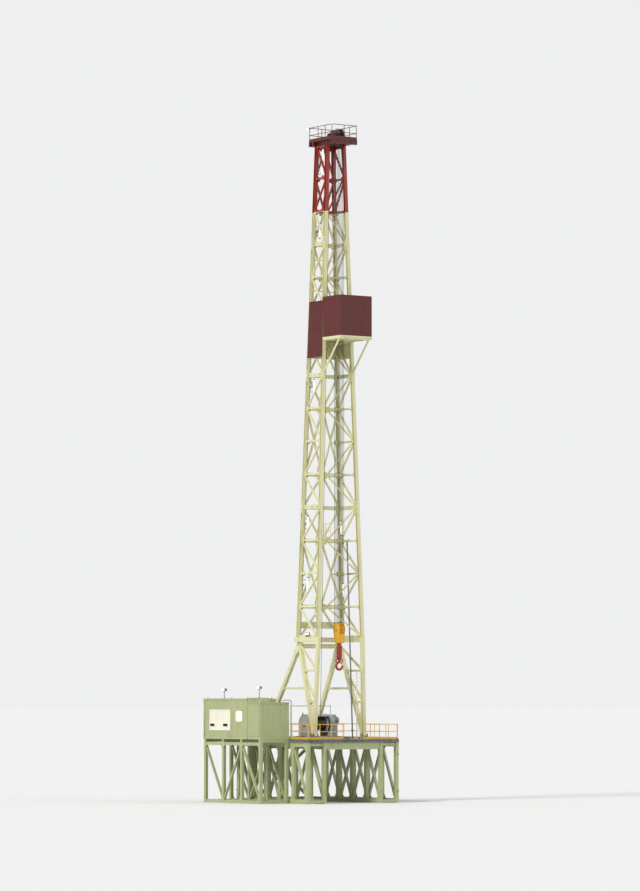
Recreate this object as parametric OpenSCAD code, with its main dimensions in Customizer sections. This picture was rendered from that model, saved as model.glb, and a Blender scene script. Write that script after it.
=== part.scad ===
// Land drilling rig with an open-front lattice mast, modelled at 1:2 in millimetres.
// The front of the mast, its open side, faces -Y. The ground is at z = 0.

/* [Drill floor] */
// Height of the drill floor above the ground
floor_z = 2286; // [1800:1:2800]
// Half width of the drill floor
floor_half_w = 2000; // [1900:10:2300]
// How far the floor reaches in front of the mast centre
floor_front = 1450; // [1400:10:1800]
// How far the floor reaches behind the mast centre
floor_rear = 3100; // [3000:10:3600]
// Thickness of the deck with its beams
deck_t = 120; // [80:1:200]
// Distance of the well centre in front of the mast centre
well_y = 560; // [540:5:600]

/* [Mast] */
// Height of the lowest mast level above the drill floor
foot_h = 3585; // [3400:5:3800]
// Height of one bay of the lattice
bay = 1197.5; // [1150:0.5:1250]
// Half width of the mast at its lowest level
half_w_low = 971; // [900:1:1050]
// Half width of the mast at its top
half_w_top = 362.5; // [340:0.5:400]
// Half depth of the mast at its lowest level
half_d_low = 637.5; // [600:0.5:700]
// Half depth of the mast at its top
half_d_top = 327.5; // [300:0.5:360]
// Width of a mast leg, seen from its side
leg_w = 110; // [90:1:130]
// Thickness of a mast leg, across the mast
leg_t = 130; // [100:1:150]
// Depth of a side girt
girt_w = 70; // [50:1:90]
// Thickness of a leg's flanges
flange_t = 16; // [12:1:20]
// Thickness of a leg's web
web_t = 14; // [10:1:20]
// Thickness of a girt
girt_t = 76; // [60:1:96]
// Width of a diagonal
brace_w = 56; // [40:1:70]
// Thickness of a diagonal
brace_t = 60; // [40:1:74]
// Depth of the deep girts across the rear
rear_girt_w = 140; // [100:1:170]
// Where the knee braces meet the rear girts, as a share of the half width
knee_share = 0.28; // [0.24:0.01:0.34]
// Clearance between pieces that are bolted or pinned together
seat = 0.4; // [0.3:0.05:0.6]

/* [Mast foot] */
// Thickness of the slanted legs
foot_leg_w = 150; // [120:1:180]
// Distance of the foot pins in front of the mast centre
foot_y = 560; // [500:5:600]
// Distance of the rear feet behind the mast centre
rear_foot_y = 2590; // [2500:5:2850]
// How far below the lowest mast level the rear legs meet the slanted legs
a_head_drop = 165; // [150:1:200]
// Half width between the slanted legs at the lowest mast level
a_top_x = 845; // [830:1:870]
// Distance of the slanted legs' heads behind the mast centre
a_top_y = 745; // [720:5:760]
// Height of the ties between the legs above the floor
tie_h = 1830; // [1600:5:2000]
// Depth of the beams at the lowest mast level
ring_beam_w = 175; // [160:5:200]
// Height of the stiffened girder across the rear, above the lowest mast level
girder_up = 530; // [450:5:650]
// Depth of the stiffened girder
girder_w = 245; // [200:5:260]
// Depth of the lower spreader beam
spreader_w = 165; // [120:5:170]
// Radius of the foot pins
foot_pin_r = 45; // [30:1:50]
// Height of the foot pins above the floor
foot_pin_h = 130; // [125:1:160]
// Height of the upper tie inside the foot frame, above the floor
upper_tie_h = 2465; // [2300:5:2700]
// Height of the lower tie inside the foot frame, above the floor
lower_tie_h = 1335; // [1100:5:1500]

/* [Racking board] */
// Height of the racking board above the lowest mast level
board_up = 10915; // [10800:5:11000]
// Half width of the racking board
board_half_w = 690; // [680:5:740]
// How far the board stands out in front of the mast legs
board_reach = 1135; // [1000:5:1250]
// Height of the windwall round the board
board_wall_h = 1465; // [1300:5:1600]
// Thickness of a windwall sheet
wall_sheet_t = 12; // [8:1:20]
// How far the mast windwalls reach below the board
wall_below = 700; // [600:10:900]
// How far the mast windwalls reach above the board
wall_above = 1350; // [1200:10:1500]
// How far below the board its struts start at the front legs
strut_drop = 1300; // [1200:10:1330]
// Thickness of the board's struts
strut_w = 50; // [40:1:70]

/* [Crown and block] */
// Depth of the crown beams
crown_beam_t = 150; // [120:1:180]
// Height of the crown handrail
crown_rail_h = 550; // [450:5:600]
// Half width of the crown platform
crown_half_w = 560; // [520:5:640]
// How far the crown platform reaches in front of the mast centre
crown_front = 900; // [860:5:1000]
// How far the crown platform reaches behind the mast centre
crown_rear = 560; // [480:5:700]
// Radius of the sheaves
sheave_r = 175; // [150:5:200]
// Distance between neighbouring sheaves
sheave_pitch = 58; // [52:1:80]
// Number of sheaves in the travelling block
sheave_count = 4; // [3:1:5]
// Height of the travelling block's sheave axle above the drill floor, at rest
block_h = 3970; // [3700:5:4100]
// Diameter of the drilling line
line_d = 16; // [12:1:20]

/* [Cabins] */
// Outer width of the cabins
cabin_w = 1220; // [1100:5:1300]
// Length of the long cabin
cabin_len = 2840; // [2600:10:3000]
// Length of the short cabin
short_cabin_len = 800; // [700:10:900]
// Height of the long cabin
cabin_h = 1450; // [1350:5:1500]
// Height of the short cabin
short_cabin_h = 1322; // [1250:5:1400]
// Thickness of the cabin walls
cabin_wall = 40; // [30:1:60]
// Gap between the two cabins
cabin_gap = 20; // [10:1:40]
// Gap between the cabins and the drill floor
cabin_off = 50; // [30:1:80]
// Where the long cabin begins behind the mast centre
cabin_y = 500; // [450:5:600]

/* [Hidden] */

cream = "#e9e6cf";
safety_yellow = "#e2b21e";
oxide_red = "#7c2222";
sage = "#c3c9a0";
machine_grey = "#8d9492";
steel_dark = "#3c3f42";

levels = 15;
base_z = floor_z + foot_h;
mast_h = levels * bay;
slope_w = (half_w_low - half_w_top) / mast_h;
slope_d = (half_d_low - half_d_top) / mast_h;
lean_w = atan(slope_w);
lean_d = atan(slope_d);
foot_x = half_w_low + slope_w * foot_h;
SECTION_ENDS = [0, 4, 8, 12, 15];

// Half width, half depth and height of the mast at level k, which may be a fraction.
function half_w(k) = half_w_low - slope_w * bay * k;
function half_d(k) = half_d_low - slope_d * bay * k;
function level_z(k) = base_z + bay * k;
function level_of(h) = (h - foot_h) / bay;
function side_v(k) = bay * k / cos(lean_w);
function rear_v(k) = bay * k / cos(lean_d);
function front_point(k) = [-half_d(k), side_v(k)];
function rear_point(k) = [half_d(k), side_v(k)];
// Distance up the side plane of a height above the drill floor.
function side_at(h) = (h - foot_h) / cos(lean_w);

foot_boss_r = foot_pin_r * 2.1;
pin_x = foot_x - slope_w * foot_pin_h;
a_rise = foot_h - foot_pin_h;
a_slope = (pin_x - a_top_x) / a_rise;
a_lean = atan(a_slope);
a_head_h = foot_h - a_head_drop;
end_plate_t = 14;
beam_low_h = foot_h - ring_beam_w / 2;
beam_high_h = foot_h + ring_beam_w / 2;
beam_t = 120;
girder_h = foot_h + girder_up;
corner_front = half_d_low - 40;
corner_rear = a_top_y + 60;
corner_in = 136;
girder_t = 60;
girder_plate = 12;
girder_post = 180;
shoe_ear = 30;
shoe_base = 20;
shoe_clear = 10;
board_h = foot_h + board_up;
board_z = floor_z + board_h;
board_t = 60;
board_back = half_d(level_of(board_h - board_t)) + leg_w / 2 + 2 * seat;
board_front = board_back + board_reach;
walkway_w = 170;
finger_pitch = 100;
finger_w = 26;
way_clear = sheave_r + 60;
first_finger = well_y + way_clear + 80;
spreader_t = 70;
crown_base_z = level_z(levels) + leg_t / 2 * sin(lean_w) + seat;
crown_z = crown_base_z + crown_beam_t;
axle_z = crown_z + sheave_r + 60;
axle_r = 40;
fast_sheave_y = 2 * sheave_r + 60 - well_y;
sheave_t = 26;
rope_r = sheave_r - line_d / 2 - 2;
stand_w = 140;
stand_x = (sheave_count + 1) * sheave_pitch / 2 + 24;
block_z = floor_z + block_h;
block_half = sheave_count * sheave_pitch / 2 + 10;
cheek_r = sheave_r + 20;
nose_half = 95;
nose_drop = 520;
hook_r = 130;
hook_bar = 44;
hook_drop = 820;
drum_r = 200;
drum_y = 850;
drum_up = 530;
drum_z = floor_z + drum_up;
hoist_half = 560;
hoist_skid = 100;
housing_r = 360;
housing_w = 180;
motor_r = 130;
motor_len = 330;
motor_up = 670;
rotary_r = 175;
rotary_h = 80;
rail_h = 545;
rail_r = 12;
rail_in = 30;
gate_half = 450;
sub_w = 760;
sub_top = floor_z - deck_t - seat;
sub_chord = 150;
sub_t = 110;
sub_bays = 5;
support_w = 110;
support_bays = 3;
pipe_r = 26;
pipe_y = -60;
pipe_in = leg_t / 2 + pipe_r + 59;
pipe_bend = 110;
standpipe_up = 3515;
side_platform_up = 3625;
side_platform_w = 300;
ladder_half = 95;
stile_w = 24;
rung_pitch = 190;
leg_ladder_x = 820;
leg_ladder_y = -625;
vent_r = 20;
vent_h = 1400;
vent_bend = 70;
vent_x = -floor_half_w + 35;
vent_end_x = -2350;
vent_gap = 110;
hose_rail_h = 1190;
hose_rail_y = 1500;
hose_rail_x = [-730, 1080];
cabin_x = -(floor_half_w + cabin_off + cabin_w);
cabin_base = 60;
roof_t = 40;
roof_box_h = 164;
roof_box_w = 378;
short_y = cabin_y - cabin_gap - short_cabin_len;
window_y = cabin_y + 345;
window_w = 380;
window_low = 650;
window_h = 365;
window_round = 60;
door_w = 380;
door_h = 1000;
door_in = 800;
door_y = cabin_y + door_in;
sign_t = 16;
sign_in = 1100;
sign_y = cabin_y + sign_in;
sign_len = 1330;
sign_low = 325;
sign_h = 725;
lamp_post_r = 14;
lamp_len = 180;
lamp_w = 120;
lamp_h = 90;
lamp_lap = 10;
cabin_lamp_in = 130;
cabin_lamp_along = 600;
cabin_lamp_rise = 290;
short_lamp_in = 170;
short_lamp_along = 320;
short_lamp_rise = 324;
tube_lamp_len = 560;
tube_lamp_w = 80;
tube_lamp_t = 60;
tube_lamp_off = 34;
lamp_strap_w = 24;
lamp_strap_t = 16;
lamp_step = 10;
cross_beam_w = 100;
cross_beam_h = 240;
cross_sill_h = 150;
cross_brace_w = 100;
cross_brace_t = 80;
first_cross_in = 25;
cross_ahead = 330;
cross_behind = 230;
rear_cross_y = 1400;
end_cross_in = 75;

// Side, level and distance behind the mast centre of each tube lamp.
LAMPS = [
    [-1, 14.7, 4], [-1, 14.3, 4], [-1, 12.4, 9], [-1, 7.65, 20], [-1, 3.5, 33],
    [1, 3.4, 40], [-1, 1.65, 26], [1, 1.5, 40]
];

// The model's own frame has its origin under the middle of the whole rig.
shift_x = (cabin_off + cabin_w + sign_t + seat) / 2;
shift_y = (max(board_front, floor_front) - max(floor_rear, cabin_y + cabin_len)) / 2;

module in_frame() translate([shift_x, shift_y, 0]) children();

// Flat bar in a plane, from p to q.
module bar2(p, q, w) {
    d = q - p;
    translate(p) rotate(atan2(d[1], d[0])) translate([0, -w / 2]) square([norm(d), w]);
}

// Straight square bar in space, from p to q.
module bar3(p, q, w, t) {
    d = q - p;
    translate(p) rotate([0, acos(d[2] / norm(d)), atan2(d[1], d[0])])
        translate([-t / 2, -w / 2, 0]) cube([t, w, norm(d)]);
}

// Round bar in space, from p to q.
module rod(p, q, r, sides = 24) {
    d = q - p;
    translate(p) rotate([0, acos(d[2] / norm(d)), atan2(d[1], d[0])])
        cylinder(h = norm(d), r = r, $fn = sides);
}

// Places a flat outline in the leaning side plane: s is -1 for the left side, 1 for the right.
module on_side(s, t, out = 0) {
    translate([s * half_w_low, 0, base_z]) rotate([0, -s * lean_w, 0]) translate([s * out, 0, 0])
        rotate([90, 0, 90]) linear_extrude(height = t, center = true) children();
}

// Places a flat outline in the leaning rear plane.
module on_rear(t, out = 0) {
    translate([0, half_d_low, base_z]) rotate([lean_d, 0, 0]) translate([0, out, 0])
        rotate([90, 0, 0]) linear_extrude(height = t, center = true) children();
}

module leg2(y_sign, from_k, to_k, w) {
    p = [y_sign * half_d(from_k), side_v(from_k)];
    q = [y_sign * half_d(to_k), side_v(to_k)];
    bar2(p - (q - p) * 0.05, q + (q - p) * 0.05, w);
}

module both_legs2(from_k, to_k, w) {
    for (e = [-1, 1]) leg2(e, from_k, to_k, w);
}

module band(low, high) {
    translate([-half_w_low * 2, low]) square([half_w_low * 4, high - low]);
}

// One flat side of the mast between two section joints. Its two legs are wide-flange sections with end plates.
module side_panel(s, k0, k1) {
    low = side_v(k0) + (k0 == 0 ? side_at(beam_high_h) : 0) + seat / 2;
    high = side_v(k1) - seat / 2;
    end_girt = girt_w / 2 + 2;
    in_frame() union() {
        on_side(s, leg_t) difference() {
            intersection() {
                both_legs2(k0, k1, leg_w);
                band(low, high);
            }
            intersection() {
                both_legs2(k0, k1, leg_w - 2 * flange_t);
                band(low + end_plate_t, high - end_plate_t);
            }
        }
        on_side(s, web_t) intersection() {
            both_legs2(k0, k1, leg_w - flange_t);
            band(low, high);
        }
        on_side(s, girt_t) difference() {
            for (k = [k0:k1]) {
                v = k == k0 ? low + end_girt : k == k1 ? high - end_girt : side_v(k);
                bar2([-half_d(k), v], [half_d(k), v], girt_w);
            }
            both_legs2(k0, k1, leg_w - flange_t);
        }
        on_side(s, brace_t) difference() {
            intersection() {
                for (k = [k0:k1 - 1]) {
                    from = k % 2 == 0 ? front_point(k) : rear_point(k);
                    to = k % 2 == 0 ? rear_point(k + 1) : front_point(k + 1);
                    bar2(from, to, brace_w);
                }
                band(low, high);
            }
            both_legs2(k0, k1, leg_w - flange_t);
        }
    }
}

function rear_left(k) = [-half_w(k), rear_v(k)];
function rear_right(k) = [half_w(k), rear_v(k)];
function rear_mid(k) = [0, rear_v(k)];

// Space between the rear legs for one section, inset from their centre planes.
module rear_bay(k0, k1, inset) {
    x = inset / cos(lean_w) + seat;
    start = k0 + (k0 == 0 ? ring_beam_w / 2 / bay : 0);
    low = rear_v(start) + seat;
    high = rear_v(k1) - seat;
    polygon([
        [-half_w(start) + x, low], [half_w(start) - x, low],
        [half_w(k1) - x, high], [-half_w(k1) + x, high]
    ]);
}

// A pair of diagonals from the two rear legs at level k to the middle of the girt at level m.
module k_brace(k, m) {
    bar2(rear_left(k), rear_mid(m), brace_w);
    bar2(rear_right(k), rear_mid(m), brace_w);
}

// Two crossed pairs between the girts at levels k and k + 2, with struts out to the legs.
module x_brace(k) {
    k_brace(k, k + 2);
    k_brace(k + 2, k);
    v = rear_v(k + 1);
    for (s = [-1, 1]) bar2([s * half_w(k + 1) / 2, v], [s * half_w(k + 1), v], brace_w);
}

// The deep girts reach in between the flanges of the legs; everything else ends at the flanges.
module rear_panel(k0, k1, girts, pairs, crosses, end_girts) {
    in_frame() union() {
        on_rear(girt_t) {
            intersection() {
                union() for (k = girts) bar2(rear_left(k), rear_right(k), rear_girt_w);
                rear_bay(k0, k1, web_t / 2);
            }
            intersection() {
                union() for (k = end_girts) {
                    v = rear_v(k) + (k == k0 ? 1 : -1) * (girt_w / 2 + 2);
                    bar2([-half_w(k), v], [half_w(k), v], girt_w);
                }
                rear_bay(k0, k1, leg_t / 2);
            }
        }
        on_rear(brace_t) intersection() {
            union() {
                for (p = pairs) k_brace(p[0], p[1]);
                for (k = crosses) x_brace(k);
            }
            rear_bay(k0, k1, leg_t / 2);
        }
    }
}

// Braces from a front leg to the rear girts, which leave the block's way open: one flat fan for each girt.
module knee_braces(s) {
    in_frame() for (k = [1:2:13]) difference() {
        e = [s * knee_share * half_w(k), half_d(k), level_z(k)];
        intersection() {
            union() for (j = [k - 1:k + 1]) {
                rise = j == 0 ? ring_beam_w / 2 + brace_w / 2 : 0;
                bar3([s * (half_w(j) - leg_t / 2), -half_d(j), level_z(j) + rise], e,
                    brace_w * (j == k ? 1 : 0.8), brace_w * 0.9);
            }
            translate([-2 * half_w_low, -2 * half_w_low, level_z(k - 1) + seat / 2])
                cube([4 * half_w_low, 4 * half_w_low, 2 * bay - seat]);
        }
        on_side(s, leg_t + 2 * seat) band(-bay, mast_h + bay);
        on_rear(girt_t + 2 * seat + 200, 100) band(-bay, mast_h + bay);
    }
}

function pin_at(y) = [y, side_at(foot_pin_h)];
// Share of the way down from the lowest mast level to the foot pins.
function foot_share(h) = (foot_h - h) / a_rise;
function front_leg_at(h) = [-half_d_low + (half_d_low - foot_y) * foot_share(h), side_at(h)];
function front_leg_point(s, h) = [s * (foot_x - slope_w * h), front_leg_at(h)[0], floor_z + h];

// The slanted and rear legs stand in a plane of their own, which leans from the foot pins to a_top_x.
function slanted_y(h) = a_top_y - (a_top_y + foot_y) * foot_share(h);
function slanted_leg_at(h) = [slanted_y(h), (h - foot_pin_h) / cos(a_lean)];
function slanted_leg_point(s, h) = [s * (pin_x - a_slope * (h - foot_pin_h)), slanted_y(h), floor_z + h];
function rear_leg_at(h) = [rear_foot_y, 0]
    + (slanted_leg_at(a_head_h) - [rear_foot_y, 0]) * (h - foot_pin_h) / (a_head_h - foot_pin_h);

module on_a_frame(s, t) {
    translate([s * pin_x, 0, floor_z + foot_pin_h]) rotate([0, -s * a_lean, 0])
        rotate([90, 0, 90]) linear_extrude(height = t, center = true) children();
}

// Level pin across a foot.
module foot_pin(s, y, r, length) {
    translate([s * pin_x, y, floor_z + foot_pin_h]) rotate([0, 90, 0])
        cylinder(h = length, r = r, center = true, $fn = 48);
}

// Leg frame between the lowest level of the mast and the foot pin, with the box that carries the rear leg.
module foot_frame(s) {
    top = side_at(beam_high_h) - seat / 2;
    low = side_at(beam_low_h);
    in_frame() difference() {
        union() {
            on_side(s, leg_t) intersection() {
                union() {
                    bar2(front_leg_at(foot_h + bay / 2), pin_at(-foot_y), leg_w * 1.1);
                    translate(pin_at(-foot_y)) circle(r = foot_boss_r, $fn = 32);
                }
                band(side_at(0) - bay, top);
            }
            on_side(s, girt_t) translate([-half_d_low, low]) square([2 * half_d_low, top - low]);
            on_side(s, leg_t + corner_in, -corner_in / 2)
                translate([corner_front, low]) square([corner_rear - corner_front, top - low]);
            intersection() {
                on_a_frame(s, leg_t) bar2(slanted_leg_at(foot_h + foot_leg_w), [-foot_y, 0], foot_leg_w);
                translate([-2 * half_w_low, -2 * half_w_low, 0])
                    cube([4 * half_w_low, 4 * half_w_low, floor_z + beam_low_h + end_plate_t]);
            }
            for (h = [upper_tie_h, lower_tie_h])
                bar3(front_leg_point(s, h), slanted_leg_point(s, h), girt_w, girt_t);
            bar3(slanted_leg_point(s, beam_low_h - girt_w), front_leg_point(s, upper_tie_h), brace_t, girt_t);
            bar3(slanted_leg_point(s, upper_tie_h), front_leg_point(s, lower_tie_h), brace_t, brace_w);
        }
        foot_pin(s, -foot_y, foot_pin_r + seat, leg_t * 3);
    }
}

// Rear leg that props the mast from the rear of the floor, with its tie to the slanted leg.
module rear_leg(s) {
    in_frame() difference() {
        union() {
            on_a_frame(s, leg_t - 10) {
                bar2([rear_foot_y, 0], rear_leg_at(a_head_h), foot_leg_w);
                translate([rear_foot_y, 0]) circle(r = foot_boss_r, $fn = 32);
            }
            on_a_frame(s, brace_t) bar2(rear_leg_at(tie_h), slanted_leg_at(tie_h), brace_w * 1.4);
        }
        on_a_frame(s, leg_t + 40)
            bar2(slanted_leg_at(foot_h), [-foot_y, 0], foot_leg_w + 2 * seat);
        foot_pin(s, rear_foot_y, foot_pin_r + seat, leg_t * 3);
    }
}

// Beam between the two corner boxes.
module ring_beam() {
    inset = (leg_t / 2 + corner_in) / cos(lean_w) + seat;
    x_top = half_w_low - ring_beam_w / 2 * tan(lean_w) - inset;
    x_low = half_w_low + ring_beam_w / 2 * tan(lean_w) - inset;
    color(cream) in_frame() translate([0, corner_front + beam_t, floor_z + beam_low_h])
        rotate([90, 0, 0]) linear_extrude(height = beam_t)
        polygon([[-x_low, 0], [x_low, 0], [x_top, ring_beam_w - seat], [-x_top, ring_beam_w - seat]]);
}

// Lower beam between the heads of the slanted legs.
module spreader_beam() {
    high = beam_low_h - 60;
    x = slanted_leg_point(1, high)[0] - leg_t / 2 / cos(a_lean) - seat;
    y = slanted_y(high - spreader_w / 2);
    color(cream) in_frame() translate([-x, y - spreader_t / 2, floor_z + high - spreader_w])
        cube([2 * x, spreader_t, spreader_w]);
}

// Deep girder with stiffeners on the rear faces of the mast legs, above the lowest beam.
module rear_girder() {
    v = (girder_h - foot_h) / cos(lean_d);
    half = half_w(level_of(girder_h)) + leg_t / 2;
    out = leg_w / 2 + seat;
    posts = ceil(2 * half / girder_post);
    pitch = (2 * half - girder_plate) / posts;
    color(cream) in_frame() union() {
        on_rear(girder_plate, out + girder_plate / 2)
            translate([-half, v - girder_w / 2]) square([2 * half, girder_w]);
        on_rear(girder_t, out + girder_t / 2) {
            for (dv = [-girder_w / 2, girder_w / 2 - girder_plate])
                translate([-half, v + dv]) square([2 * half, girder_plate]);
            for (i = [0:posts])
                translate([-half + i * pitch, v - girder_w / 2]) square([girder_plate, girder_w]);
        }
    }
}

// Clevis shoe with its pin, set on the floor under a foot.
module shoe(s, y, t) {
    length = foot_pin_r * 5;
    half = t / 2 + shoe_clear;
    for (e = [-1, 1])
        translate([s * pin_x + e * (half + shoe_ear / 2) - shoe_ear / 2, y - length / 2, floor_z + seat])
            cube([shoe_ear, length, foot_pin_h + foot_pin_r * 1.5]);
    translate([s * pin_x - half - shoe_ear, y - length / 2, floor_z + seat])
        cube([2 * (half + shoe_ear), length, shoe_base]);
    foot_pin(s, y, foot_pin_r, 2 * (half + shoe_ear) + 10);
}

module leg_shoes() {
    color(machine_grey) in_frame() for (s = [-1, 1]) {
        union() shoe(s, -foot_y, leg_t);
        union() shoe(s, rear_foot_y, leg_t - 10);
    }
}

// Platform for the pipe stands: walkways on three sides, a middle walkway and finger beams.
module racking_board() {
    color(cream) in_frame() translate([0, 0, board_z - board_t]) linear_extrude(height = board_t) union() {
        for (s = [-1, 1])
            translate([s * (board_half_w - walkway_w / 2) - walkway_w / 2, -board_front])
                square([walkway_w, board_reach]);
        translate([-board_half_w, -board_front]) square([2 * board_half_w, walkway_w]);
        translate([-70, -board_front]) square([140, board_front - first_finger]);
        for (y = [first_finger:finger_pitch:board_front - walkway_w - finger_pitch / 2], s = [-1, 1])
            translate([s > 0 ? 130 : -board_half_w + 1, -y - finger_w])
                square([board_half_w - 131, finger_w]);
    }
}

module board_windwall() {
    z = board_z + seat;
    color(oxide_red) in_frame() translate([0, 0, z]) linear_extrude(height = board_wall_h) union() {
        for (s = [-1, 1])
            translate([s > 0 ? board_half_w - wall_sheet_t : -board_half_w, -board_front])
                square([wall_sheet_t, board_reach - seat]);
        translate([-board_half_w, -board_front]) square([2 * board_half_w, wall_sheet_t]);
    }
}

module mast_windwalls() {
    v_low = side_at(board_h - wall_below);
    v_high = side_at(board_h + wall_above);
    k_low = level_of(board_h - wall_below);
    k_high = level_of(board_h + wall_above);
    color(oxide_red) in_frame() {
        for (s = [-1, 1]) on_side(s, wall_sheet_t, leg_t / 2 + wall_sheet_t / 2 + seat) polygon([
            [-half_d(k_low), v_low], [half_d(k_low), v_low],
            [half_d(k_high), v_high], [-half_d(k_high), v_high]
        ]);
        on_rear(wall_sheet_t, leg_w / 2 + wall_sheet_t / 2 + 1) polygon([
            [-half_w(k_low), v_low], [half_w(k_low), v_low],
            [half_w(k_high), v_high], [-half_w(k_high), v_high]
        ]);
    }
}

// Struts that carry the outer end of the racking board from the front legs.
module board_struts() {
    h = board_h - strut_drop;
    k = level_of(h);
    color(cream) in_frame() for (s = [-1, 1]) difference() {
        bar3([s * half_w(k), -half_d(k), floor_z + h],
            [s * half_w(k), -board_front + walkway_w / 2, board_z - board_t / 2], strut_w, strut_w);
        on_side(s, leg_t * 2) leg2(-1, 0, levels, leg_w + 2 * seat);
        translate([-board_half_w, -board_front, board_z - board_t - seat])
            cube([2 * board_half_w, board_reach, 4 * board_t]);
    }
}

module crown_frame() {
    beam = 90;
    color(oxide_red) in_frame() translate([0, 0, crown_base_z]) linear_extrude(height = crown_beam_t) union() {
        for (x = [-half_w_top, -stand_x, stand_x, half_w_top])
            translate([x - beam / 2, -crown_front]) square([beam, crown_front + crown_rear]);
        for (y = [-crown_front, half_d_top - beam / 2, crown_rear - beam])
            translate([-crown_half_w, y]) square([2 * crown_half_w, beam]);
    }
}

// Grating floor and handrail round the sheaves.
module crown_platform() {
    t = 30;
    z = crown_z + seat;
    edge = 20;
    corner_y = [-crown_front + edge, crown_rear - edge];
    corner_x = crown_half_w - edge;
    color(oxide_red) in_frame() {
        translate([0, 0, z]) linear_extrude(height = t) difference() {
            translate([-crown_half_w, -crown_front]) square([2 * crown_half_w, crown_front + crown_rear]);
            translate([-stand_x - 60, -well_y - sheave_r - 40])
                square([2 * stand_x + 120, well_y + fast_sheave_y + 2 * sheave_r + 100]);
        }
        for (h = [crown_rail_h / 2, crown_rail_h]) {
            for (y = corner_y) rod([-corner_x, y, z + h - 12], [corner_x, y, z + h - 12], 12, 8);
            for (x = [-corner_x, corner_x])
                rod([x, corner_y[0], z + h - 12], [x, corner_y[1], z + h - 12], 12, 8);
        }
        for (x = [-corner_x, 0, corner_x], y = corner_y)
            rod([x, y, z + t / 2], [x, y, z + crown_rail_h - 12], 12, 8);
        for (x = [-corner_x, corner_x], y = [-crown_front / 2, 0])
            rod([x, y, z + t / 2], [x, y, z + crown_rail_h - 12], 12, 8);
    }
}

// Grooved sheave on an axle along X.
module sheave(x, y, z) {
    translate([x, y, z]) rotate([0, 90, 0]) rotate_extrude($fn = 64) polygon([
        [0, -sheave_t / 2], [sheave_r, -sheave_t / 2], [sheave_r, -line_d / 2 - 3],
        [rope_r - line_d / 2 - seat, -line_d / 2 - 1], [rope_r - line_d / 2 - seat, line_d / 2 + 1],
        [sheave_r, line_d / 2 + 3], [sheave_r, sheave_t / 2], [0, sheave_t / 2]
    ]);
}

function line_x(i) = (i - (sheave_count - 1) / 2) * sheave_pitch;

// Axle with its two bearing stands on the crown beams.
module crown_axle(y) {
    translate([0, y, axle_z]) rotate([0, 90, 0])
        cylinder(h = 2 * stand_x + 60, r = axle_r, center = true, $fn = 48);
    for (s = [-1, 1]) translate([s * stand_x - 25, y - stand_w / 2, crown_z + seat])
        cube([50, stand_w, axle_z - crown_z + 50]);
}

module crown_sheaves() {
    color(steel_dark) in_frame() {
        union() {
            for (i = [0:sheave_count - 1]) sheave(line_x(i), -well_y, axle_z);
            crown_axle(-well_y);
        }
        union() {
            sheave(0, fast_sheave_y, axle_z);
            crown_axle(fast_sheave_y);
        }
    }
}

module crown_lamp() {
    x = -crown_half_w - 30;
    y = crown_rear - 20;
    z = crown_z + crown_rail_h - 75;
    color(machine_grey) in_frame() union() {
        rod([x + 37.6 - seat, y, z], [x - 40, y, z], 14, 12);
        translate([x - 70, y, z - 10]) cylinder(h = 70, r = 55, $fn = 32);
    }
}

module travelling_block() {
    gap = sheave_t + 8;
    color(safety_yellow) in_frame() translate([0, -well_y, block_z]) {
        difference() {
            rotate([90, 0, 90]) linear_extrude(height = 2 * block_half, center = true) union() {
                circle(r = cheek_r, $fn = 64);
                polygon([[-cheek_r * 0.98, -cheek_r * 0.2], [cheek_r * 0.98, -cheek_r * 0.2],
                    [nose_half, -nose_drop], [-nose_half, -nose_drop]]);
            }
            for (i = [0:sheave_count - 1])
                translate([line_x(i) - gap / 2, -cheek_r * 2, -sheave_r - 10])
                    cube([gap, cheek_r * 4, sheave_r + cheek_r * 2]);
        }
        rotate([0, 90, 0]) cylinder(h = 2 * block_half + 30, r = axle_r, center = true, $fn = 48);
    }
    color(safety_yellow) in_frame() for (i = [0:sheave_count - 1]) sheave(line_x(i), -well_y, block_z);
}

// Swivel hook under the block: a shank, a spring housing, a neck and the open ring.
module hook() {
    shank = [60, 120];
    housing = [100, 380];
    neck_r = 55;
    color(oxide_red) in_frame() translate([0, -well_y, block_z - nose_drop - seat]) union() {
        translate([0, 0, -shank[1]]) cylinder(h = shank[1], r = shank[0], $fn = 32);
        translate([0, 0, -shank[1] - housing[1]]) cylinder(h = housing[1] + 20, r = housing[0], $fn = 32);
        translate([0, 0, hook_r - hook_drop]) cylinder(h = hook_drop - hook_r - shank[1], r = neck_r, $fn = 32);
        translate([0, 0, -hook_drop]) rotate([90, 0, 0]) rotate(95) rotate_extrude(angle = 270, $fn = 48)
            translate([hook_r, 0]) circle(r = hook_bar, $fn = 24);
    }
}

// Lines between the crown sheaves and the block.
module drilling_lines() {
    color(steel_dark) in_frame() for (i = [0:sheave_count - 1], s = [-1, 1])
        translate([line_x(i), -well_y + s * rope_r, block_z])
            cylinder(h = axle_z - block_z, r = line_d / 2, $fn = 8);
}

// Line from the rear crown sheave down inside the mast to the drum.
module fast_line() {
    color(steel_dark) in_frame()
        rod([0, fast_sheave_y + rope_r, axle_z], [0, drum_y - drum_r - line_d / 2 - 2 * seat, drum_z],
            line_d / 2, 8);
}

// Deck with a round opening for the rotary table.
module drill_floor() {
    color(machine_grey) in_frame() difference() {
        translate([-floor_half_w, -floor_front, floor_z - deck_t])
            cube([2 * floor_half_w, floor_front + floor_rear, deck_t]);
        translate([0, -well_y, floor_z - deck_t - 1]) cylinder(h = deck_t + 2, r = rotary_r + 120, $fn = 96);
    }
}

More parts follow.
